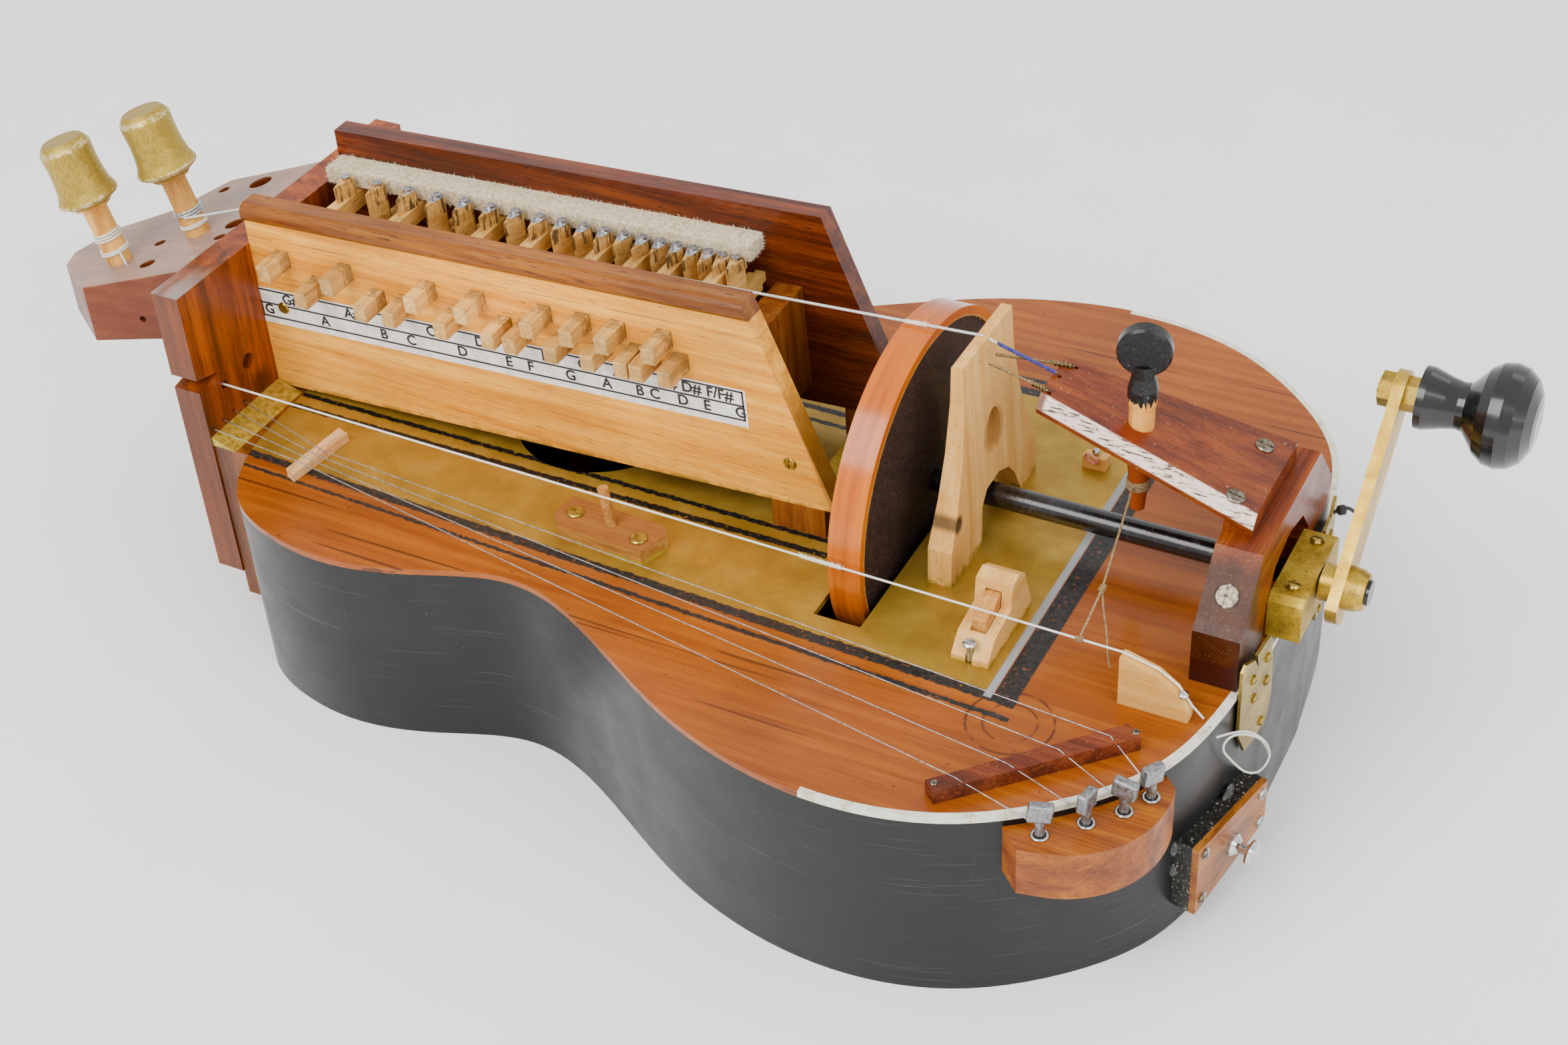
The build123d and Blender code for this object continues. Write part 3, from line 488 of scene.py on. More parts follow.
def make_trompette_peg():
    foot_z = TAIL_LOW_Z + (TAIL_END_X - TROMPETTE_X) * TAIL_SLOPE
    s = wood(
        "trompette_peg", "b87a44", "d39a60", "e6b883", grain="Z", rough=0.5, coat=0.1, pores=0.3,
        depth=1.05,
    )
    height = s.calc("SUBTRACT", s.z, foot_z)
    jag = s.calc("ADD", height, s.levels(s.noise((0.9, 0.9, 0.15), 3), 0.3, 0.7, -2, 2))
    black = s.above(jag, 13, 0.4)
    scuffs = s.ramp(s.noise(0.6, 5, 0.7), (0.45, "0d0d0e"), (0.62, "1d1d1e"), (0.72, "6d6a66"))
    s.over(black, scuffs)
    s.over(s.below(height, -8, 3), "8a3f1c")
    s.rough(s.blend(black, 0.5, 0.28))
    return s


def box_height(s):
    """Height above the keybox's lower edge, square to it."""
    up_x = s.calc("MULTIPLY", s.calc("ADD", s.x, -BOX_FOOT_X), -math.sin(BOX_PITCH))
    up_z = s.calc("MULTIPLY", s.calc("SUBTRACT", s.z, BOX_FOOT_Z), math.cos(BOX_PITCH))
    return s.calc("ADD", up_x, up_z)


FIRST_POST_TOP, LAST_POST_TOP = 87, 83.5  # heights above the keybox's lower edge
POSTS_START, POSTS_SPAN = 10.5, 205


def make_key():
    s = wood(
        "keys", "a57d4f", "c39b68", "d8b283", grain="Y", rough=0.55, coat=0.0, pores=0.5, bump=0.3,
        depth=1.15,
    )
    height = box_height(s)
    # A darker band on the keys where they come out of the front wall: painted shade next to the wall.
    wall_shade = s.both(s.between(s.y, -43, -36, 2), s.above(s.noise(0.3, 4), 0.4, 0.1))
    s.over(s.calc("MULTIPLY", wall_shade, 0.6), "4a3822")
    mark = s.both(s.between(s.y, -43.6, -43.2, 0.1), s.above(s.noise(0.4, 2), 0.4, 0.1))
    s.over(s.calc("MULTIPLY", mark, 0.7), "3c2c1a")
    tips = s.both(s.below(s.y, -51.5, 1.5), s.above(s.noise(0.5, 3), 0.5, 0.08))
    s.over(s.calc("MULTIPLY", tips, 0.45), "8b7a5c")
    # Dark streaks on the posts' upper ends: painted shade between the posts.
    post = s.both(s.above(height, 78.5), s.above(s.y, 5))
    s.over(s.both(post, s.above(s.noise((0.5, 0.5, 0.08), 3), 0.55, 0.06)), "5c452c")
    steel = s.ramp(s.noise(0.9, 3), (0.35, "8d9094"), (0.6, "d2d4d6"))
    fall = (LAST_POST_TOP - FIRST_POST_TOP) / POSTS_SPAN
    post_top = s.calc("MULTIPLY_ADD", s.x, fall, FIRST_POST_TOP - fall * POSTS_START)
    screw = s.both(s.above(s.calc("SUBTRACT", height, post_top), 0.12, 0.05), s.above(s.y, 12))
    s.over(screw, steel)
    s.metal(screw)
    s.rough(s.blend(screw, 0.55, 0.22))
    return s


def make_tailpiece():
    s = wood(
        "tailpiece", "5f230b", "8a3f16", "a5541f", rough=0.3, coat=0.3, pores=0.5, bump=0.15,
        fleck="2c0f06", depth=0.6,
    )
    top = s.calc("MULTIPLY_ADD", s.x, -TAIL_SLOPE, TAIL_LOW_Z + TAIL_END_X * TAIL_SLOPE)
    depth = s.calc("SUBTRACT", top, s.z)
    # the near long edge is planed off and scraped bare
    spread = (TAIL_WIDE_Y - TAIL_NARROW_Y) / (TAIL_END_X - TAIL_BRIDGE_X)
    edge_y = s.calc("MULTIPLY_ADD", s.x, -spread, -TAIL_NARROW_Y + TAIL_BRIDGE_X * spread)
    inwards = s.calc("SUBTRACT", s.y, edge_y)
    chamfer = s.both(s.below(s.calc("ADD", inwards, depth), 5.6, 0.3), s.below(inwards, 5, 0.3))
    chamfer = s.both(chamfer, s.below(depth, 5, 0.3), s.above(s.x, 372.5, 0.5))
    flakes = s.above(s.noise((0.12, 1.1, 1.1), 5, 0.7), 0.56, 0.03)
    bare = s.mix(flakes, rgb("e3cfc2"), rgb("4a2a20"))
    s.over(chamfer, bare)
    joint = s.between(s.y, -0.25, 0.2, 0.12)
    s.over(s.calc("MULTIPLY", joint, 0.7), "30120a")
    patch = s.both(s.between(s.x, 401, 416, 0.4), s.between(s.y, -20, -8.5, 0.4), s.below(depth, 0.5))
    s.over(s.calc("MULTIPLY", patch, 0.6), "6e2505")
    s.over(s.calc("MULTIPLY", s.specks(0.6, 0.16), 0.5), "c9a183")
    s.rough(s.blend(chamfer, 0.3, 0.6))
    return s


def make_tail_block():
    s = wood(
        "tail_block", "6a2a0c", "97461a", "b36024", grain="Y", rough=0.3, coat=0.3, pores=0.5,
        bump=0.2, fleck="260d05", depth=0.5,
    )
    near = s.below(s.y, -40, 3)
    s.over(s.calc("MULTIPLY", near, 0.8), "2a1409")
    glints = s.specks(1.4, 0.3)
    s.over(s.calc("MULTIPLY", s.both(glints, s.below(s.y, -40, 6)), 0.35), "a08c74")
    base = s.both(s.below(s.z, 12), s.above(s.noise(0.2, 3), 0.2, 0.05))
    s.over(s.calc("MULTIPLY", base, 0.85), "32120c")
    s.bump(s.noise(0.5, 3), 0.3, 0.4)
    s.rough(0.55)
    s.bsdf.inputs["Specular IOR Level"].default_value = 0.15
    return s


def make_plank():
    s = wood(
        "neck_plank", "57290e", "863f14", "a8571e", grain="Z", rough=0.36, coat=0.25, pores=0.8,
        bump=0.25, fleck="2a1206", depth=0.85,
    )
    near = s.below(s.y, -90.8, 0.1)
    s.over(s.calc("MULTIPLY", near, 0.55), "4a2a17")
    top = s.above(s.z, 81.7, 0.2)
    s.over(s.calc("MULTIPLY", top, s.levels(s.noise((0.2, 0.02, 0.2), 4), 0.35, 0.6, 0.3, 0.9)), "8c8580")
    knot = s.distance(None, -50, 10)
    s.over(s.calc("MULTIPLY", s.below(knot, 7, 3), 0.7), "2a1005")
    return s


def make_headstock():
    s = wood(
        "headstock", "5a2f18", "7d4826", "96603a", rough=0.4, coat=0.15, pores=0.6, bump=0.15,
        fleck="2b130c", depth=0.95,
    )
    climb = math.tan(HEAD_LEAN)
    level = s.calc("MULTIPLY_ADD", s.x, climb, HEAD_TOP_Z - HEAD_TOP_X * climb)
    # The top face is laid over with light grey: a painted reflection of the light falling on it.
    top = s.above(s.calc("SUBTRACT", s.z, level), -0.4, 0.2)
    s.over(s.calc("MULTIPLY", top, 0.42), "b9aaa2")
    rim = s.below(s.calc("SUBTRACT", s.z, level), -1, 0.4)
    s.over(s.calc("MULTIPLY", rim, 0.75), "5e2410")
    s.over(s.calc("MULTIPLY", s.specks(0.3, 0.12), 0.6), "2a120b")
    return s


def make_packing():
    s = wood("neck_packing", "5a2f14", "7f4a22", "9a6030", grain="Z", rough=0.4, coat=0.3, pores=0.7)
    fillet = s.above(s.z, 0.05, 0.05)
    gold = s.ramp(s.noise(0.4, 4), (0.3, "8d742a"), (0.6, "c4ab57"))
    s.over(fillet, gold)
    s.metal(s.calc("MULTIPLY", fillet, 0.55))
    return s


def make_front_wall():
    s = wood(
        "keybox_front_wall", "b0712c", "cb9147", "dca75d", rough=0.45, coat=0.08, pores=0.55,
        bump=0.2, fleck="6a4220", blotch=0.2, depth=1.3,
    )
    height = box_height(s)
    pencil = s.both(s.between(height, 83.2, 83.7, 0.12), s.above(s.noise((0.05, 0.3, 0.3), 3), 0.42, 0.06))
    s.over(s.calc("MULTIPLY", pencil, 0.55), "4b3a2a")
    end = s.above(s.calc("MULTIPLY_ADD", height, 0.355, s.x), 284.5, 0.5)
    s.over(s.calc("MULTIPLY", end, 0.7), "8a5a30")
    foot = s.both(s.below(height, 1.5, 1), s.above(s.noise(0.2, 3), 0.5, 0.08))
    s.over(s.calc("MULTIPLY", foot, 0.7), "6b5722")
    return s


def make_bearings():
    s = painted_metal("axle_bearings", "6a5217", "a98a36", "d0b45c", rough=0.42, metal=0.6, bump=0.6)
    s.over(s.calc("MULTIPLY", s.specks(0.5, 0.2), 0.6), "2d260f")
    s.bump(s.noise(0.2, 4), 0.4, 0.8)
    return s


def make_beech(name, grain="Z"):
    s = wood(
        name, "cb9a62", "d8aa74", "e3bb8a", grain=grain, rough=0.6, coat=0.0, pores=0.35, bump=0.25,
        fleck="9a6636", blotch=0.15, depth=1.0,
    )
    s.over(s.calc("MULTIPLY", s.specks(0.45, 0.1), 0.5), "7c5027")
    return s


def make_bridge():
    s = make_beech("main_bridge")
    # A dark disc round the hole: painted shade inside it.
    hole = s.distance(None, -38, 28)
    s.over(s.calc("MULTIPLY", s.below(hole, 4.2, 1), 0.8), "2a1d12")
    feet = s.both(s.below(s.z, 3, 1.5), s.above(s.noise(0.3, 3), 0.5, 0.06))
    s.over(feet, "8f7c34")
    s.over(s.calc("MULTIPLY", s.between(s.distance(None, 1.5, 51), 0, 10.4, 0.4), 0.35), "6b3a1e")
    return s


def make_dog_bridge():
    s = make_beech("dog_bridge", "Y")
    s.over(s.both(s.below(s.z, 1.4, 0.8), s.above(s.noise(0.3, 3), 0.45, 0.06)), "9a8438")
    return s


def make_lift():
    s = wood("string_lift", "9b683a", "bd8855", "d3a474", rough=0.5, coat=0.1, pores=0.6, fleck="6b3f1e")
    top = s.both(s.above(s.z, 7.8, 0.1), s.below(s.z, 8.3, 0.1))
    s.over(s.calc("MULTIPLY", top, 0.6), "7a3f20")
    s.over(s.both(s.below(s.z, 2.2, 1), s.above(s.noise(0.25, 3), 0.46, 0.06)), "a08a3a")
    return s


def make_sym_bridges():
    s = wood("sympathetic_bridges", "431a0e", "6a2e1b", "84432b", rough=0.5, coat=0.1, pores=0.7)
    light = s.below(s.x, 60)
    s.over(light, s.ramp(s.noise((0.5, 0.05, 0.5), 4), (0.35, "b98a5a"), (0.6, "dcb083")))
    chips = s.above(s.noise(0.6, 4, 0.7), 0.64, 0.03)
    s.over(s.calc("MULTIPLY", chips, 0.6), "a0724c")
    return s


PLATE_X, PLATE_Y = 481.2, -77
PLATE_TURN = math.radians(79)


def make_strap_plate():
    s = wood("strap_plate", "7d4620", "a5662f", "bd8043", grain="Y", rough=0.35, coat=0.4, pores=0.8)
    # how far outside the plane between the plate and its black packing
    away_x = s.calc("MULTIPLY", s.calc("SUBTRACT", s.x, PLATE_X), math.sin(PLATE_TURN))
    away_y = s.calc("MULTIPLY", s.calc("SUBTRACT", s.y, PLATE_Y), -math.cos(PLATE_TURN))
    away = s.calc("ADD", away_x, away_y)
    packing = s.below(away, -0.05, 0.05)
    s.over(packing, s.ramp(s.noise(0.4, 3), (0.35, "0c0c0c"), (0.7, "2a2a28")))
    s.over(s.both(packing, s.specks(0.8, 0.4)), "9a927c")
    return s


def make_screws():
    s = Shader("wood_screws", 0.3, 0.9)
    tint = s.noise(0.5, 4)
    brass = s.ramp(tint, (0.3, "6b5a28"), (0.6, "b69e58"))
    steel = s.ramp(tint, (0.3, "77787a"), (0.6, "c9cacc"))
    dull = s.ramp(tint, (0.3, "3c3630"), (0.6, "8c8274"))
    s.color(brass)
    strap_screws = s.both(s.below(s.z, -48), s.above(s.x, 460))
    s.over(strap_screws, steel)
    bracket_screws = s.both(s.between(s.x, 366, 376), s.below(s.y, -80))
    s.over(bracket_screws, steel)
    tail_top = s.both(s.above(s.z, 55), s.above(s.x, 440))
    tail_near = s.both(s.above(s.z, 30), s.above(s.x, 440), s.below(s.y, -40))
    s.over(s.either(tail_top, tail_near), dull)
    tuner_screws = s.both(s.above(s.x, 380), s.below(s.y, -100))
    s.over(tuner_screws, dull)
    s.bump(s.noise(1.2, 2), 0.15, 0.1)
    return s


def make_strings():
    s = Shader("strings", 0.35, coat=0.2)
    s.color(s.ramp(s.noise(0.8, 3), (0.3, "bfc1c1"), (0.6, "d3d4d2")))
    drone = s.both(s.below(s.y, -60), s.above(s.z, 8.8))
    s.over(drone, s.ramp(s.noise(0.7, 3), (0.3, "d6d5cc"), (0.6, "e8e7df")))
    brass = s.both(s.above(s.x, 345.2), s.above(s.z, 60), s.below(s.x, 390))
    s.over(brass, s.ramp(s.noise(0.7, 3), (0.3, "4a3d22"), (0.6, "93805a")))
    twine = s.both(s.between(s.x, 408, 419.5), s.above(s.y, -80.9), s.above(s.z, 24))
    s.over(twine, s.ramp(s.noise(1.2, 4), (0.35, "5b4630"), (0.6, "a08862")))
    thin = s.both(s.below(s.z, 8.7), s.below(s.x, 450))
    s.over(thin, s.ramp(s.noise(0.7, 3), (0.3, "6d6e70"), (0.6, "b9babc")))
    s.metal(s.calc("MULTIPLY", s.either(brass, thin), 0.85))
    s.bump(s.noise((1.5, 3, 3), 2), 0.04, 0.1)
    return s


def make_inner():
    return wood("inner_frame", "a67a4a", "c49a66", "d8b383", rough=0.7, coat=0.0)


def make_plain(name, dark, middle, rough, metal=0.0, coat=0.0, grain=0.5, bump=0.15):
    s = Shader(name, rough, metal, coat, 0.06)
    value = s.noise(grain, 4, 0.6)
    s.color(s.ramp(value, (0.35, dark), (0.65, middle)))
    s.rough(s.levels(s.noise(grain * 0.5, 3), 0.3, 0.7, rough * 0.7, rough * 1.4))
    s.bump(value, bump, 0.2)
    return s


def make_axle():
    s = Shader("axle", 0.2, coat=0.2, coat_rough=0.1)
    rings = s.noise((0.5, 0.25, 0.25), 4, 0.65)
    s.color(s.ramp(rings, (0.4, "060606"), (0.6, "121213"), (0.75, "3a3835")))
    s.bump(rings, 0.4, 0.3)
    return s


all_slots("soundboard", make_soundboard())
sides = make_sides("ribs_black")
for node in ("body_sides", "body_back"):
    all_slots(node, sides)
all_slots("edge_binding", make_binding())
all_slots("inner_frame", make_inner())
all_slots("neck_plank", make_plank())
all_slots("headstock", make_headstock())
all_slots("neck_packing", make_packing())
all_slots("keybox_front_wall", make_front_wall())
all_slots(
    "keybox_back_wall",
    wood(
        "keybox_back_wall", "3f1608", "6b2d13", "8a431f", rough=0.34, coat=0.4, pores=0.8,
        bump=0.3, fleck="1e0a04", size=0.8, depth=0.75,
    ),
)
all_slots(
    "keybox_moulding",
    wood(
        "keybox_moulding", "7a3f14", "a4611f", "bd7c35", rough=0.36, coat=0.15, pores=0.9,
        bump=0.25, fleck="3a1a0a", depth=0.58,
    ),
)
all_slots(
    "keybox_blocks",
    wood("keybox_blocks", "6b3715", "8f5023", "a56a38", grain="Z", rough=0.5, coat=0.1, pores=0.7),
)
all_slots("felt_strip", make_plain("felt", "b9ac8c", "e6dcc4", 0.95, grain=0.6, bump=1.0))
all_slots("wheel", make_wheel())
all_slots("axle", make_axle())
gold_paint = painted_metal("crank_gold", "8a6a25", "b8974a", "d6b971", rough=0.3, metal=0.8)
all_slots("crank_arm", gold_paint)
all_slots(
    "crank_fasteners",
    painted_metal("crank_fasteners", "7a5f22", "a98a3e", "cdb066", rough=0.3, metal=0.85),
)
all_slots(
    "crank_handle",
    make_plain("crank_handle", "060606", "0e0e0f", 0.2, coat=0.3, grain=0.25, bump=0.3),
)
all_slots("axle_bearings", make_bearings())
all_slots(
    "brass_plates",
    painted_metal("brass_plates", "6d5a2b", "9a8448", "b9a465", rough=0.32, metal=0.85),
)
all_slots("wood_screws", make_screws())


def on_head(x, y):
    """A place on the headstock's top."""
    return (x, y, HEAD_TOP_Z + (x - HEAD_TOP_X) * math.tan(HEAD_LEAN))


PEG_BASES = (on_head(-90, -46), on_head(-60, -21.5))
for number, base in enumerate(PEG_BASES, 1):
    all_slots(f"tuning_peg_{number}", make_gold_peg(f"tuning_peg_{number}", base))
all_slots("trompette_peg", make_trompette_peg())
keys = make_key()
for number in range(1, KEY_COUNT + 1):
    all_slots(f"key_{number:02d}", keys)
all_slots("tailpiece", make_tailpiece())
all_slots("tail_block", make_tail_block())
all_slots("main_bridge", make_bridge())
all_slots("dog_bridge", make_dog_bridge())
all_slots("dog", wood("dog", "a8713f", "c79058", "d9a974", grain="Y", rough=0.55, coat=0.0))
all_slots("drone_brackets", make_beech("drone_brackets", "X"))
all_slots("string_lift", make_lift())
all_slots("sympathetic_bridges", make_sym_bridges())
all_slots(
    "tuner_block",
    wood(
        "tuner_block", "7a3c10", "a85c1f", "c47a35", grain="X", rough=0.4, coat=0.3, pores=0.6,
        fleck="5a3012", depth=0.66,
    ),
)
steel = make_plain("tuner_steel", "6f7071", "a6a7a8", 0.38, metal=0.9, grain=0.7, bump=0.3)
for number in range(1, 5):
    all_slots(f"sympathetic_tuner_{number}", steel)
all_slots("strap_plate", make_strap_plate())
all_slots(
    "strap_button",
    make_plain("strap_button", "b9bbbd", "dfe0e1", 0.12, metal=1.0, grain=0.6, bump=0.03),
)
all_slots("strings", make_strings())

# ---------------------------------------------------------------- pieces made here

gut = make_plain("gut_white", "c9c7bc", "e9e8e0", 0.45, grain=1.2, bump=0.3)
blue = make_plain("blue_wrap", "1f1f5e", "3a3a9c", 0.5, grain=0.9, bump=0.4)
brown_twine = make_plain("brown_twine", "5b4630", "a58b63", 0.8, grain=1.5, bump=0.6)
cotton = make_plain("cotton", "d8d2c0", "f2efe4", 0.9, grain=1.0, bump=0.8)
brass_wire = make_plain("brass_wire", "4f4226", "9b8860", 0.35, metal=0.85, grain=0.8)
black_cord = make_plain("black_cord", "0b0b0b", "222222", 0.6, grain=0.9, bump=0.4)

loop = line("drone_string_loop", DRONE_LOOP, 0.5, gut)
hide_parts("drone_string_end")


def solid(name, points, faces, material, smooth=False):
    """A mesh piece on the body, from points in millimetres."""
    mesh = bpy.data.meshes.new(name)
    mesh.from_pydata([tuple(place(*p)) for p in points], [], faces)
    mesh.validate()
    mesh.update()
    for face in mesh.polygons:
        face.use_smooth = smooth
    piece = bpy.data.objects.new(name, mesh)
    bpy.context.collection.objects.link(piece)
    mesh.materials.append(material.mat)
    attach(piece, "body")
    return piece


random.seed(11)


def between(a, b, share):
    """The place that far along from a to b."""
    return tuple(u + (v - u) * share for u, v in zip(a, b))


# the label strip with the note names, glued to the keybox
def in_box(along, y, height):
    """A place by the keybox: along its lower edge, across, and up square to that edge."""
    x = BOX_FOOT_X + along * math.cos(BOX_PITCH) - height * math.sin(BOX_PITCH)
    z = BOX_FOOT_Z + along * math.sin(BOX_PITCH) + height * math.cos(BOX_PITCH)
    return (x, y, z)


def on_front(along, height, out):
    """A place on the front wall, and how far it stands off the wall."""
    return in_box(along, LABEL_Y - out, height)


BAR_BACK = 0.3  # how far a bar reaches back into the wall


def bar(along, height, out):
    """Corners of a thin flat bar on the front wall, from two limits each way."""
    (left, right), (low, high) = along, height
    corners = ((left, low), (right, low), (right, high), (left, high))
    near = [on_front(a, h, out) for a, h in corners]
    far = [on_front(a, h, -BAR_BACK) for a, h in corners]
    return near + far


BAR_FACES = ((0, 1, 2, 3), (7, 6, 5, 4), (0, 4, 5, 1), (1, 5, 6, 2), (2, 6, 7, 3), (3, 7, 4, 0))


def bars(name, limits, out, material):
    """Several bars in one piece."""
    points, faces = [], []
    for along, height in limits:
        start = len(points)
        points += bar(along, height, out)
        faces += [tuple(start + i for i in face) for face in BAR_FACES]
    return solid(name, points, faces, material)


paper = make_plain("label_paper", "dad8cf", "f3f2ec", 0.7, grain=0.25, bump=0.1)
ink = make_plain("label_ink", "111111", "2a2a2a", 0.6, grain=0.9, bump=0.05)
LABEL_END = 262.5
LINE_WIDTH = 0.9
LINE_START = 1.6
bars("label_strip", [((0.6, LABEL_END), (36, 55.5))], 0.12, paper)
LINES = [
    ((LINE_START, LABEL_END - 1), (h - LINE_WIDTH / 2, h + LINE_WIDTH / 2)) for h in (39.7, 47, 54.3)
]
LINES += [((a, a + LINE_WIDTH), (39.3, 54.7)) for a in (LINE_START, LABEL_END - 1.9)]
bars("label_lines", LINES, 0.17, ink)
NOTES = (
    "G#", "A", "A#", "B", "C", "C#", "D", "D#", "E", "F", "F#", "G", "G#", "A", "A#", "B", "C", "C#", "D",
)
NUT_X = -13.8  # where the open string starts
STRING_LENGTH = 344.8
LOW_ROW, HIGH_ROW = 43.4, 50.8  # natural and sharp notes


def note_along(number):
    """Where on the strip the key that raises the string by that many semitones stands."""
    x = NUT_X + STRING_LENGTH * (1 - 2 ** (-number / OCTAVE))
    return (x - BOX_FOOT_X) / math.cos(BOX_PITCH) + 0.4


def note_row(note):
    return HIGH_ROW if "#" in note else LOW_ROW


def letters(name, text, along, height):
    """A printed note name, its middle at a place on the strip."""
    data = bpy.data.curves.new(name + "_text", "FONT")
    data.body = text
    data.size = 0.0074
    data.offset = 0.00014
    data.align_x = "CENTER"
    data.align_y = "CENTER"
    data.extrude = 0.00006
    source = bpy.data.objects.new(name + "_text", data)
    bpy.context.collection.objects.link(source)
    bpy.context.view_layer.update()
    mesh = bpy.data.meshes.new_from_object(source)
    bpy.data.objects.remove(source)
    turn = Matrix.Rotation(-BOX_PITCH, 4, "Y") @ Matrix.Rotation(math.pi / 2, 4, "X")
    mesh.transform(Matrix.Translation(place(*on_front(along, height, 0.2))) @ turn)
    mesh.materials.clear()
    mesh.materials.append(ink.mat)
    piece = bpy.data.objects.new(name, mesh)
    bpy.context.collection.objects.link(piece)
    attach(piece, "body")


letters("note_00", "G", 6.2, 43.6)
for number, note in enumerate(NOTES, 1):
    letters(f"note_{number:02d}", note, note_along(number), note_row(note))
# names past the last key, each with how far past it stands
BEYOND = (("D#", 5), ("E", 12), ("F/F#", 19), ("G", 28.5))
for number, (note, beyond) in enumerate(BEYOND, KEY_COUNT + 1):
    letters(f"note_{number}", note, note_along(KEY_COUNT) + beyond, note_row(note))

# wool standing off the felt
wool = make_plain("felt_wool", "cfc2a2", "f1e9d6", 0.95, grain=0.6, bump=0.3)


def hairs(name, count, root, length, material, width):
    """Loose fibres: each one a thin bent sliver from a place given by root()."""
    points, faces = [], []
    for _ in range(count):
        base, out = root()
        lean = Vector([random.uniform(-1, 1) for _ in range(3)]) * 0.8 + Vector(out)
        side = lean.cross(Vector((random.uniform(-1, 1), 0.3, random.uniform(-1, 1)))).normalized() * width
        reach = lean.normalized() * random.uniform(0.4, 1) * length
        curl = side.normalized() * random.uniform(-0.5, 0.5) * length
        start = Vector(base) - reach * 0.15
        middle = start + reach * 0.6
        tip = start + reach + curl * 0.6
        first = len(points)
        points += [start - side, start + side, middle - side * 0.7, middle + side * 0.7, tip]
        faces += [(first, first + 1, first + 3, first + 2), (first + 2, first + 3, first + 4)]
    return solid(name, points, faces, material)


FELT_LOW, FELT_TOP = 79.6, 87
FELT_START, FELT_END = 6, 236
NEAR_SIDE_SHARE, TOP_SHARE = 0.45, 0.49  # of the hairs; the rest stand on the felt's end


def felt_root():
    """A place on the felt's near side, its top or its end, and the way out of it."""
    along = random.uniform(FELT_START, FELT_END)
    pick = random.random()
    if pick < NEAR_SIDE_SHARE:
        y, height, out = 22.7, random.uniform(FELT_LOW, FELT_TOP), (0, -0.5, -0.3)
    elif pick < NEAR_SIDE_SHARE + TOP_SHARE:
        y, height, out = random.uniform(22.6, 35.5), FELT_TOP, (0, -0.3, 1)
    else:
        along, out = FELT_END - 0.1, (1, 0, 0)
        y, height = random.uniform(23, 35), random.uniform(FELT_LOW, FELT_TOP)
    return in_box(along, y, height), out


hairs("felt_fuzz", 9000, felt_root, 3, wool, 0.12)

# cotton wound round the strings where the wheel rubs them
MELODY = ((-22.3, -3, 81.3), (338.8, 0.8, 98.2))
DRONE = ((192, -78, 25), (434.6, -82, 25))


def along_string(ends, x):
    (x0, _, _), (x1, _, _) = ends
    return between(ends[0], ends[1], (x - x0) / (x1 - x0))


def wound(name, ends, limits, radius, material, step=0.55):
    """Thread wound round a string, between two x values."""
    points = []
    turns = int((limits[1] - limits[0]) / step)
    for i in range(turns * 6 + 1):
        x, y, z = along_string(ends, limits[0] + (limits[1] - limits[0]) * i / (turns * 6))
        swell = radius * (0.8 + 0.35 * noise.noise(Vector((x * 0.6, 3, 1))))
        a = i * math.pi / 3
        points.append((x, y + swell * math.cos(a), z + swell * math.sin(a)))
    return line(name, points, 0.42, material)


wound("melody_cotton", MELODY, (303.5, 313.5), 0.75, cotton)
wound("drone_cotton", DRONE, (291, 310), 0.7, cotton)


def cotton_root(ends, limits):
    def root():
        x, y, z = along_string(ends, random.uniform(*limits))
        a = random.uniform(0, math.pi)
        return (x, y + 0.8 * math.cos(a), z + 0.8 * math.sin(a)), (0, math.cos(a), math.sin(a))
    return root


hairs("melody_cotton_fuzz", 90, cotton_root(MELODY, (303, 314)), 1.6, cotton, 0.09)
hairs("drone_cotton_fuzz", 140, cotton_root(DRONE, (290, 311)), 1.6, cotton, 0.09)

# blue thread over the melody string's tail, and the bridge's two hairpin wires
def on_tail(x, y, lift):
    """A place over the tailpiece's top, and how far off it."""
    lean = math.atan(TAIL_SLOPE)
    z = TAIL_LOW_Z + (TAIL_END_X - x) * TAIL_SLOPE
    return (x + lift * math.sin(lean), y, z + lift * math.cos(lean))


MELODY_TAIL = (MELODY[1], on_tail(371.6, 2.6, 1.2))
wound("blue_winding", MELODY_TAIL, (345.9, 371), 0.62, blue, 0.8)
WIRE_ENDS = (
    ((345.6, -8, 91.4), (372.2, -9.4, 0.8)),
    ((345.6, -1, 91.4), (375.2, 12, 0.8)),
)
TWIST_STEPS, TWIST_TURN, TWIST_RADIUS = 25, 1.3, 1.1
for number, (start, end) in enumerate(WIRE_ENDS, 1):
    finish = on_tail(*end)
    twist = []
    for i in range(TWIST_STEPS + 1):
        share = 0.72 + 0.26 * i / TWIST_STEPS
        x, y, z = between((345.4, start[1], 92), finish, share)
        a = i * TWIST_TURN
        twist.append((x, y + TWIST_RADIUS * math.cos(a), z + TWIST_RADIUS * math.sin(a)))
    line(f"bridge_wire_{number}", [start, between(start, finish, 0.5), *twist], 0.4, brass_wire)

# strings wound round the pegs
def coil(name, base, up, radius, lifts, turns, wire, material, body, start=0.0):
    """Turns of string round a peg that stands at base and points up."""
    up = Vector(up).normalized()
    side = up.cross(Vector((0, 1, 0))).normalized()
    front = up.cross(side)
    points = []
    count = int(turns * 12)
    for i in range(count + 1):
        a = start + 2 * math.pi * turns * i / count
        lift = lifts[0] + (lifts[1] - lifts[0]) * i / count
        out = side * math.cos(a) + front * math.sin(a)
        points.append(tuple(Vector(base) + up * lift + out * radius))
    return line(name, points, wire, material, body)


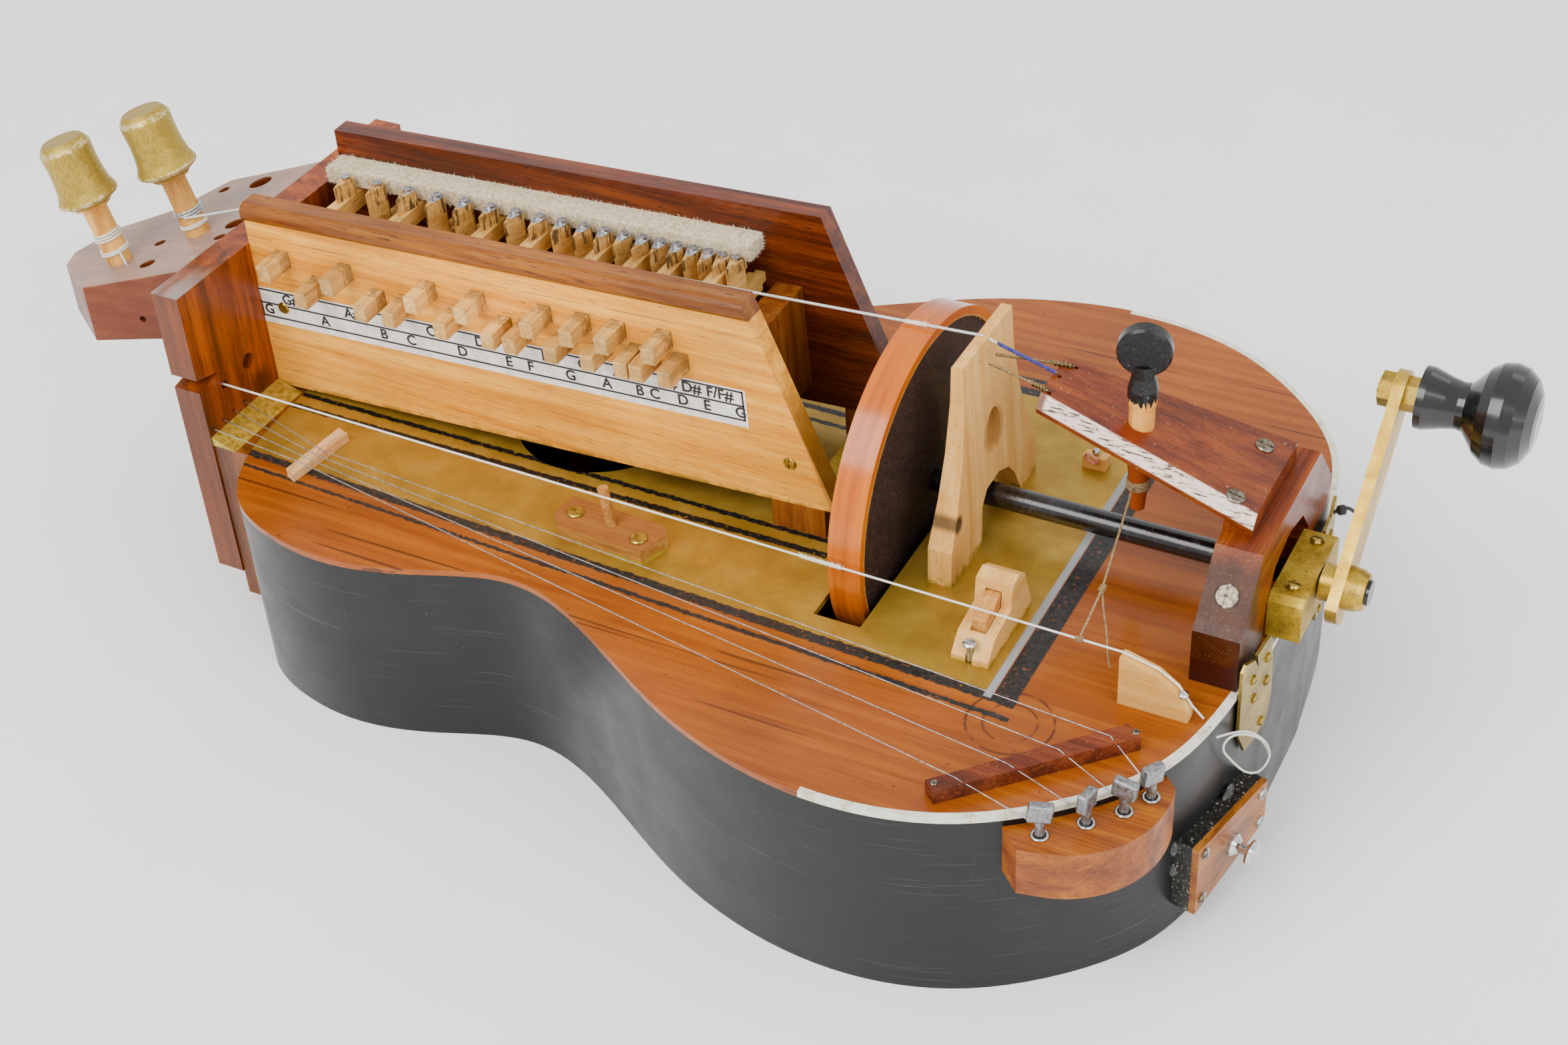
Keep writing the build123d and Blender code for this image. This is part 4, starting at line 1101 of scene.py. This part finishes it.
silver = make_plain("string_silver", "8f9192", "d9dada", 0.3, metal=0.7, grain=1.4, bump=0.3)
coil("peg_1_low_turns", PEG_BASES[0], HEAD_UP, 6.65, (5.5, 8), 2.2, 0.6, gut, "tuning_peg_1")
coil("peg_1_high_turns", PEG_BASES[0], HEAD_UP, 6.65, (13, 16.5), 2.4, 0.6, gut, "tuning_peg_1", 1.0)
coil("peg_2_turns", PEG_BASES[1], HEAD_UP, 6.75, (10.4, 14), 2.6, 0.65, silver, "tuning_peg_2", 2.0)
coil("peg_2_white_turn", PEG_BASES[1], HEAD_UP, 6.6, (4.5, 6), 1.6, 0.5, gut, "tuning_peg_2")

# twine: wound on the trompette peg's foot, knotted over the drone string, one loose end
coil(
    "trompette_turns", (TROMPETTE_X, TROMPETTE_Y, 0), (0, 0, 1), 4.75, (44, 48), 3.6, 0.6,
    brown_twine, "trompette_peg",
)
KNOT = (418, -62, 36.4)
LOOSE_END = [KNOT, (420, -66, 31), (424.4, -72, 23), (426.6, -77, 17), (429, -79.5, 12)]
line("twine_loose_end", LOOSE_END, 0.45, brown_twine)
coil("twine_knot", KNOT, (-0.1, -0.9, -0.5), 0.95, (-1.6, 1.6), 3.2, 0.5, brown_twine, "body")
coil("twine_on_drone", (416.5, -81.7, 25), (1, 0, 0), 1.0, (-1.4, 1.4), 3.2, 0.45, brown_twine, "body")


def lump(name, at, size, material, seed):
    """A rough blob, such as a drop of glue or a knot."""
    rings, around = 7, 12
    points, faces = [], []
    for r in range(rings + 1):
        for a in range(around):
            theta, phi = math.pi * (r + 0.02) / (rings + 0.04), 2 * math.pi * a / around
            flat = math.sin(theta)
            way = Vector((flat * math.cos(phi), flat * math.sin(phi), math.cos(theta)))
            rough = 1 + 0.3 * noise.noise(way * 1.7 + Vector((seed, 0, 0)))
            points.append(tuple(c + w * h * rough for c, w, h in zip(at, way, size)))
    for r in range(rings):
        for a in range(around):
            b = (a + 1) % around
            row, below = r * around, (r + 1) * around
            faces.append((row + a, below + a, below + b, row + b))
    return solid(name, points, faces, material, True)


def make_glue():
    s = make_plain("black_glue", "0a0a0a", "1f1e1c", 0.35, coat=0.4, grain=0.6, bump=0.5)
    s.over(s.calc("MULTIPLY", s.specks(1.2, 0.35), 0.9), "b9ad90")
    return s


glue = make_glue()
lump("strap_glue_upper", (477, -66, -54), (3.4, 7, 6), glue, 1)
lump("strap_glue_left", (466.5, -100, -52), (4, 6, 5), glue, 2)
lump("strap_glue_low", (467, -100, -64), (3.4, 4.6, 6), glue, 5)

# black cord knotted on the far side of the tail
CORD_END = [(478.5, 55, 9), (483, 57, 12.5), (486, 61, 9), (487, 66, 2), (486, 68, -6)]
line("black_cord_end", CORD_END, 0.8, black_cord)
lump("black_cord_knot", (482, 56.7, 10.8), (2.6, 2.4, 2.2), black_cord, 3)

# small rings under the four tuners, the drone string's screw and the far bracket's rubber loop
chrome = make_plain("small_chrome", "9fa1a3", "e0e1e2", 0.16, metal=1.0, grain=0.8, bump=0.05)


RING_POINTS = 16


def ring(name, at, radius, wire, material, up=(0, 0, 1)):
    """A closed ring of wire round a place."""
    up = Vector(up).normalized()
    side = up.cross(Vector((0.3, 1, 0.1))).normalized()
    front = up.cross(side)
    points = []
    for i in range(RING_POINTS):
        a = 2 * math.pi * i / RING_POINTS
        points.append(tuple(Vector(at) + (side * math.cos(a) + front * math.sin(a)) * radius))
    return line(name, points, wire, material, cyclic=True)


TUNER_TURN = math.atan2(161 - 109, 466 - 417.5)
TUNER_X, TUNER_Y = 442, -136.5


def on_tuner(along, out, z):
    """A place by the tuner block: along it from its middle, and square to it."""
    c, s = math.cos(TUNER_TURN), math.sin(TUNER_TURN)
    return (TUNER_X + along * c - out * s, TUNER_Y + along * s + out * c, z)


for number, (along, out) in enumerate(((-24, -9), (-5, -10), (11, -10), (24, -7)), 1):
    ring(f"tuner_ring_{number}", on_tuner(along, out, -5.5), 3.1, 0.7, chrome)
lump("drone_screw", (460.4, -82, 11.6), (2.3, 2.5, 1.6), chrome, 4)
pink = make_plain("pink_rubber", "b06a62", "d4948a", 0.5, grain=0.8)
ring("rubber_loop", (369, 53.2, 7), 3.2, 0.6, pink, (0.3, 1, 0.4))
lump("far_bracket_screw", (369.4, 58.4, 7.4), (2, 2, 1.5), chrome, 6)

# ---------------------------------------------------------------- floor and light
floor_shader = Shader("floor", 0.7)
floor_shader.color(floor_shader.ramp(floor_shader.noise(0.01, 3), (0.3, "fbfbfb"), (0.7, "ffffff")))
floor_mesh = bpy.data.meshes.new("floor")
FLOOR = 6.0
floor_mesh.from_pydata(
    [(-FLOOR, -FLOOR, 0), (FLOOR, -FLOOR, 0), (FLOOR, FLOOR, 0), (-FLOOR, FLOOR, 0)], [], [(0, 1, 2, 3)]
)
floor_mesh.materials.append(floor_shader.mat)
floor = bpy.data.objects.new("floor", floor_mesh)
bpy.context.collection.objects.link(floor)


def area_light(name, at, towards, size, power, tint=(1, 1, 1)):
    """A rectangular light, in metres in the row's frame."""
    data = bpy.data.lights.new(name, "AREA")
    data.shape = "RECTANGLE"
    data.size, data.size_y = size
    data.energy = power
    data.color = tint
    light = bpy.data.objects.new(name, data)
    light.location = at
    light.rotation_euler = (Vector(towards) - Vector(at)).to_track_quat("-Z", "Y").to_euler()
    bpy.context.collection.objects.link(light)


TARGET = (0, 0, 0.1)
area_light("key", (-0.5, -1.5, 1.9), TARGET, (1.4, 1.4), 52, (1, 0.98, 0.95))
area_light("fill", (1.7, -0.9, 1.2), TARGET, (1.2, 1.6), 22)
area_light("back", (1.2, 1.5, 1.6), TARGET, (1.2, 1.0), 6)
world = bpy.data.worlds.new("world")
bpy.context.scene.world = world
world.use_nodes = True
world.node_tree.nodes["Background"].inputs["Color"].default_value = (1, 1, 1, 1)
world.node_tree.nodes["Background"].inputs["Strength"].default_value = 1.25
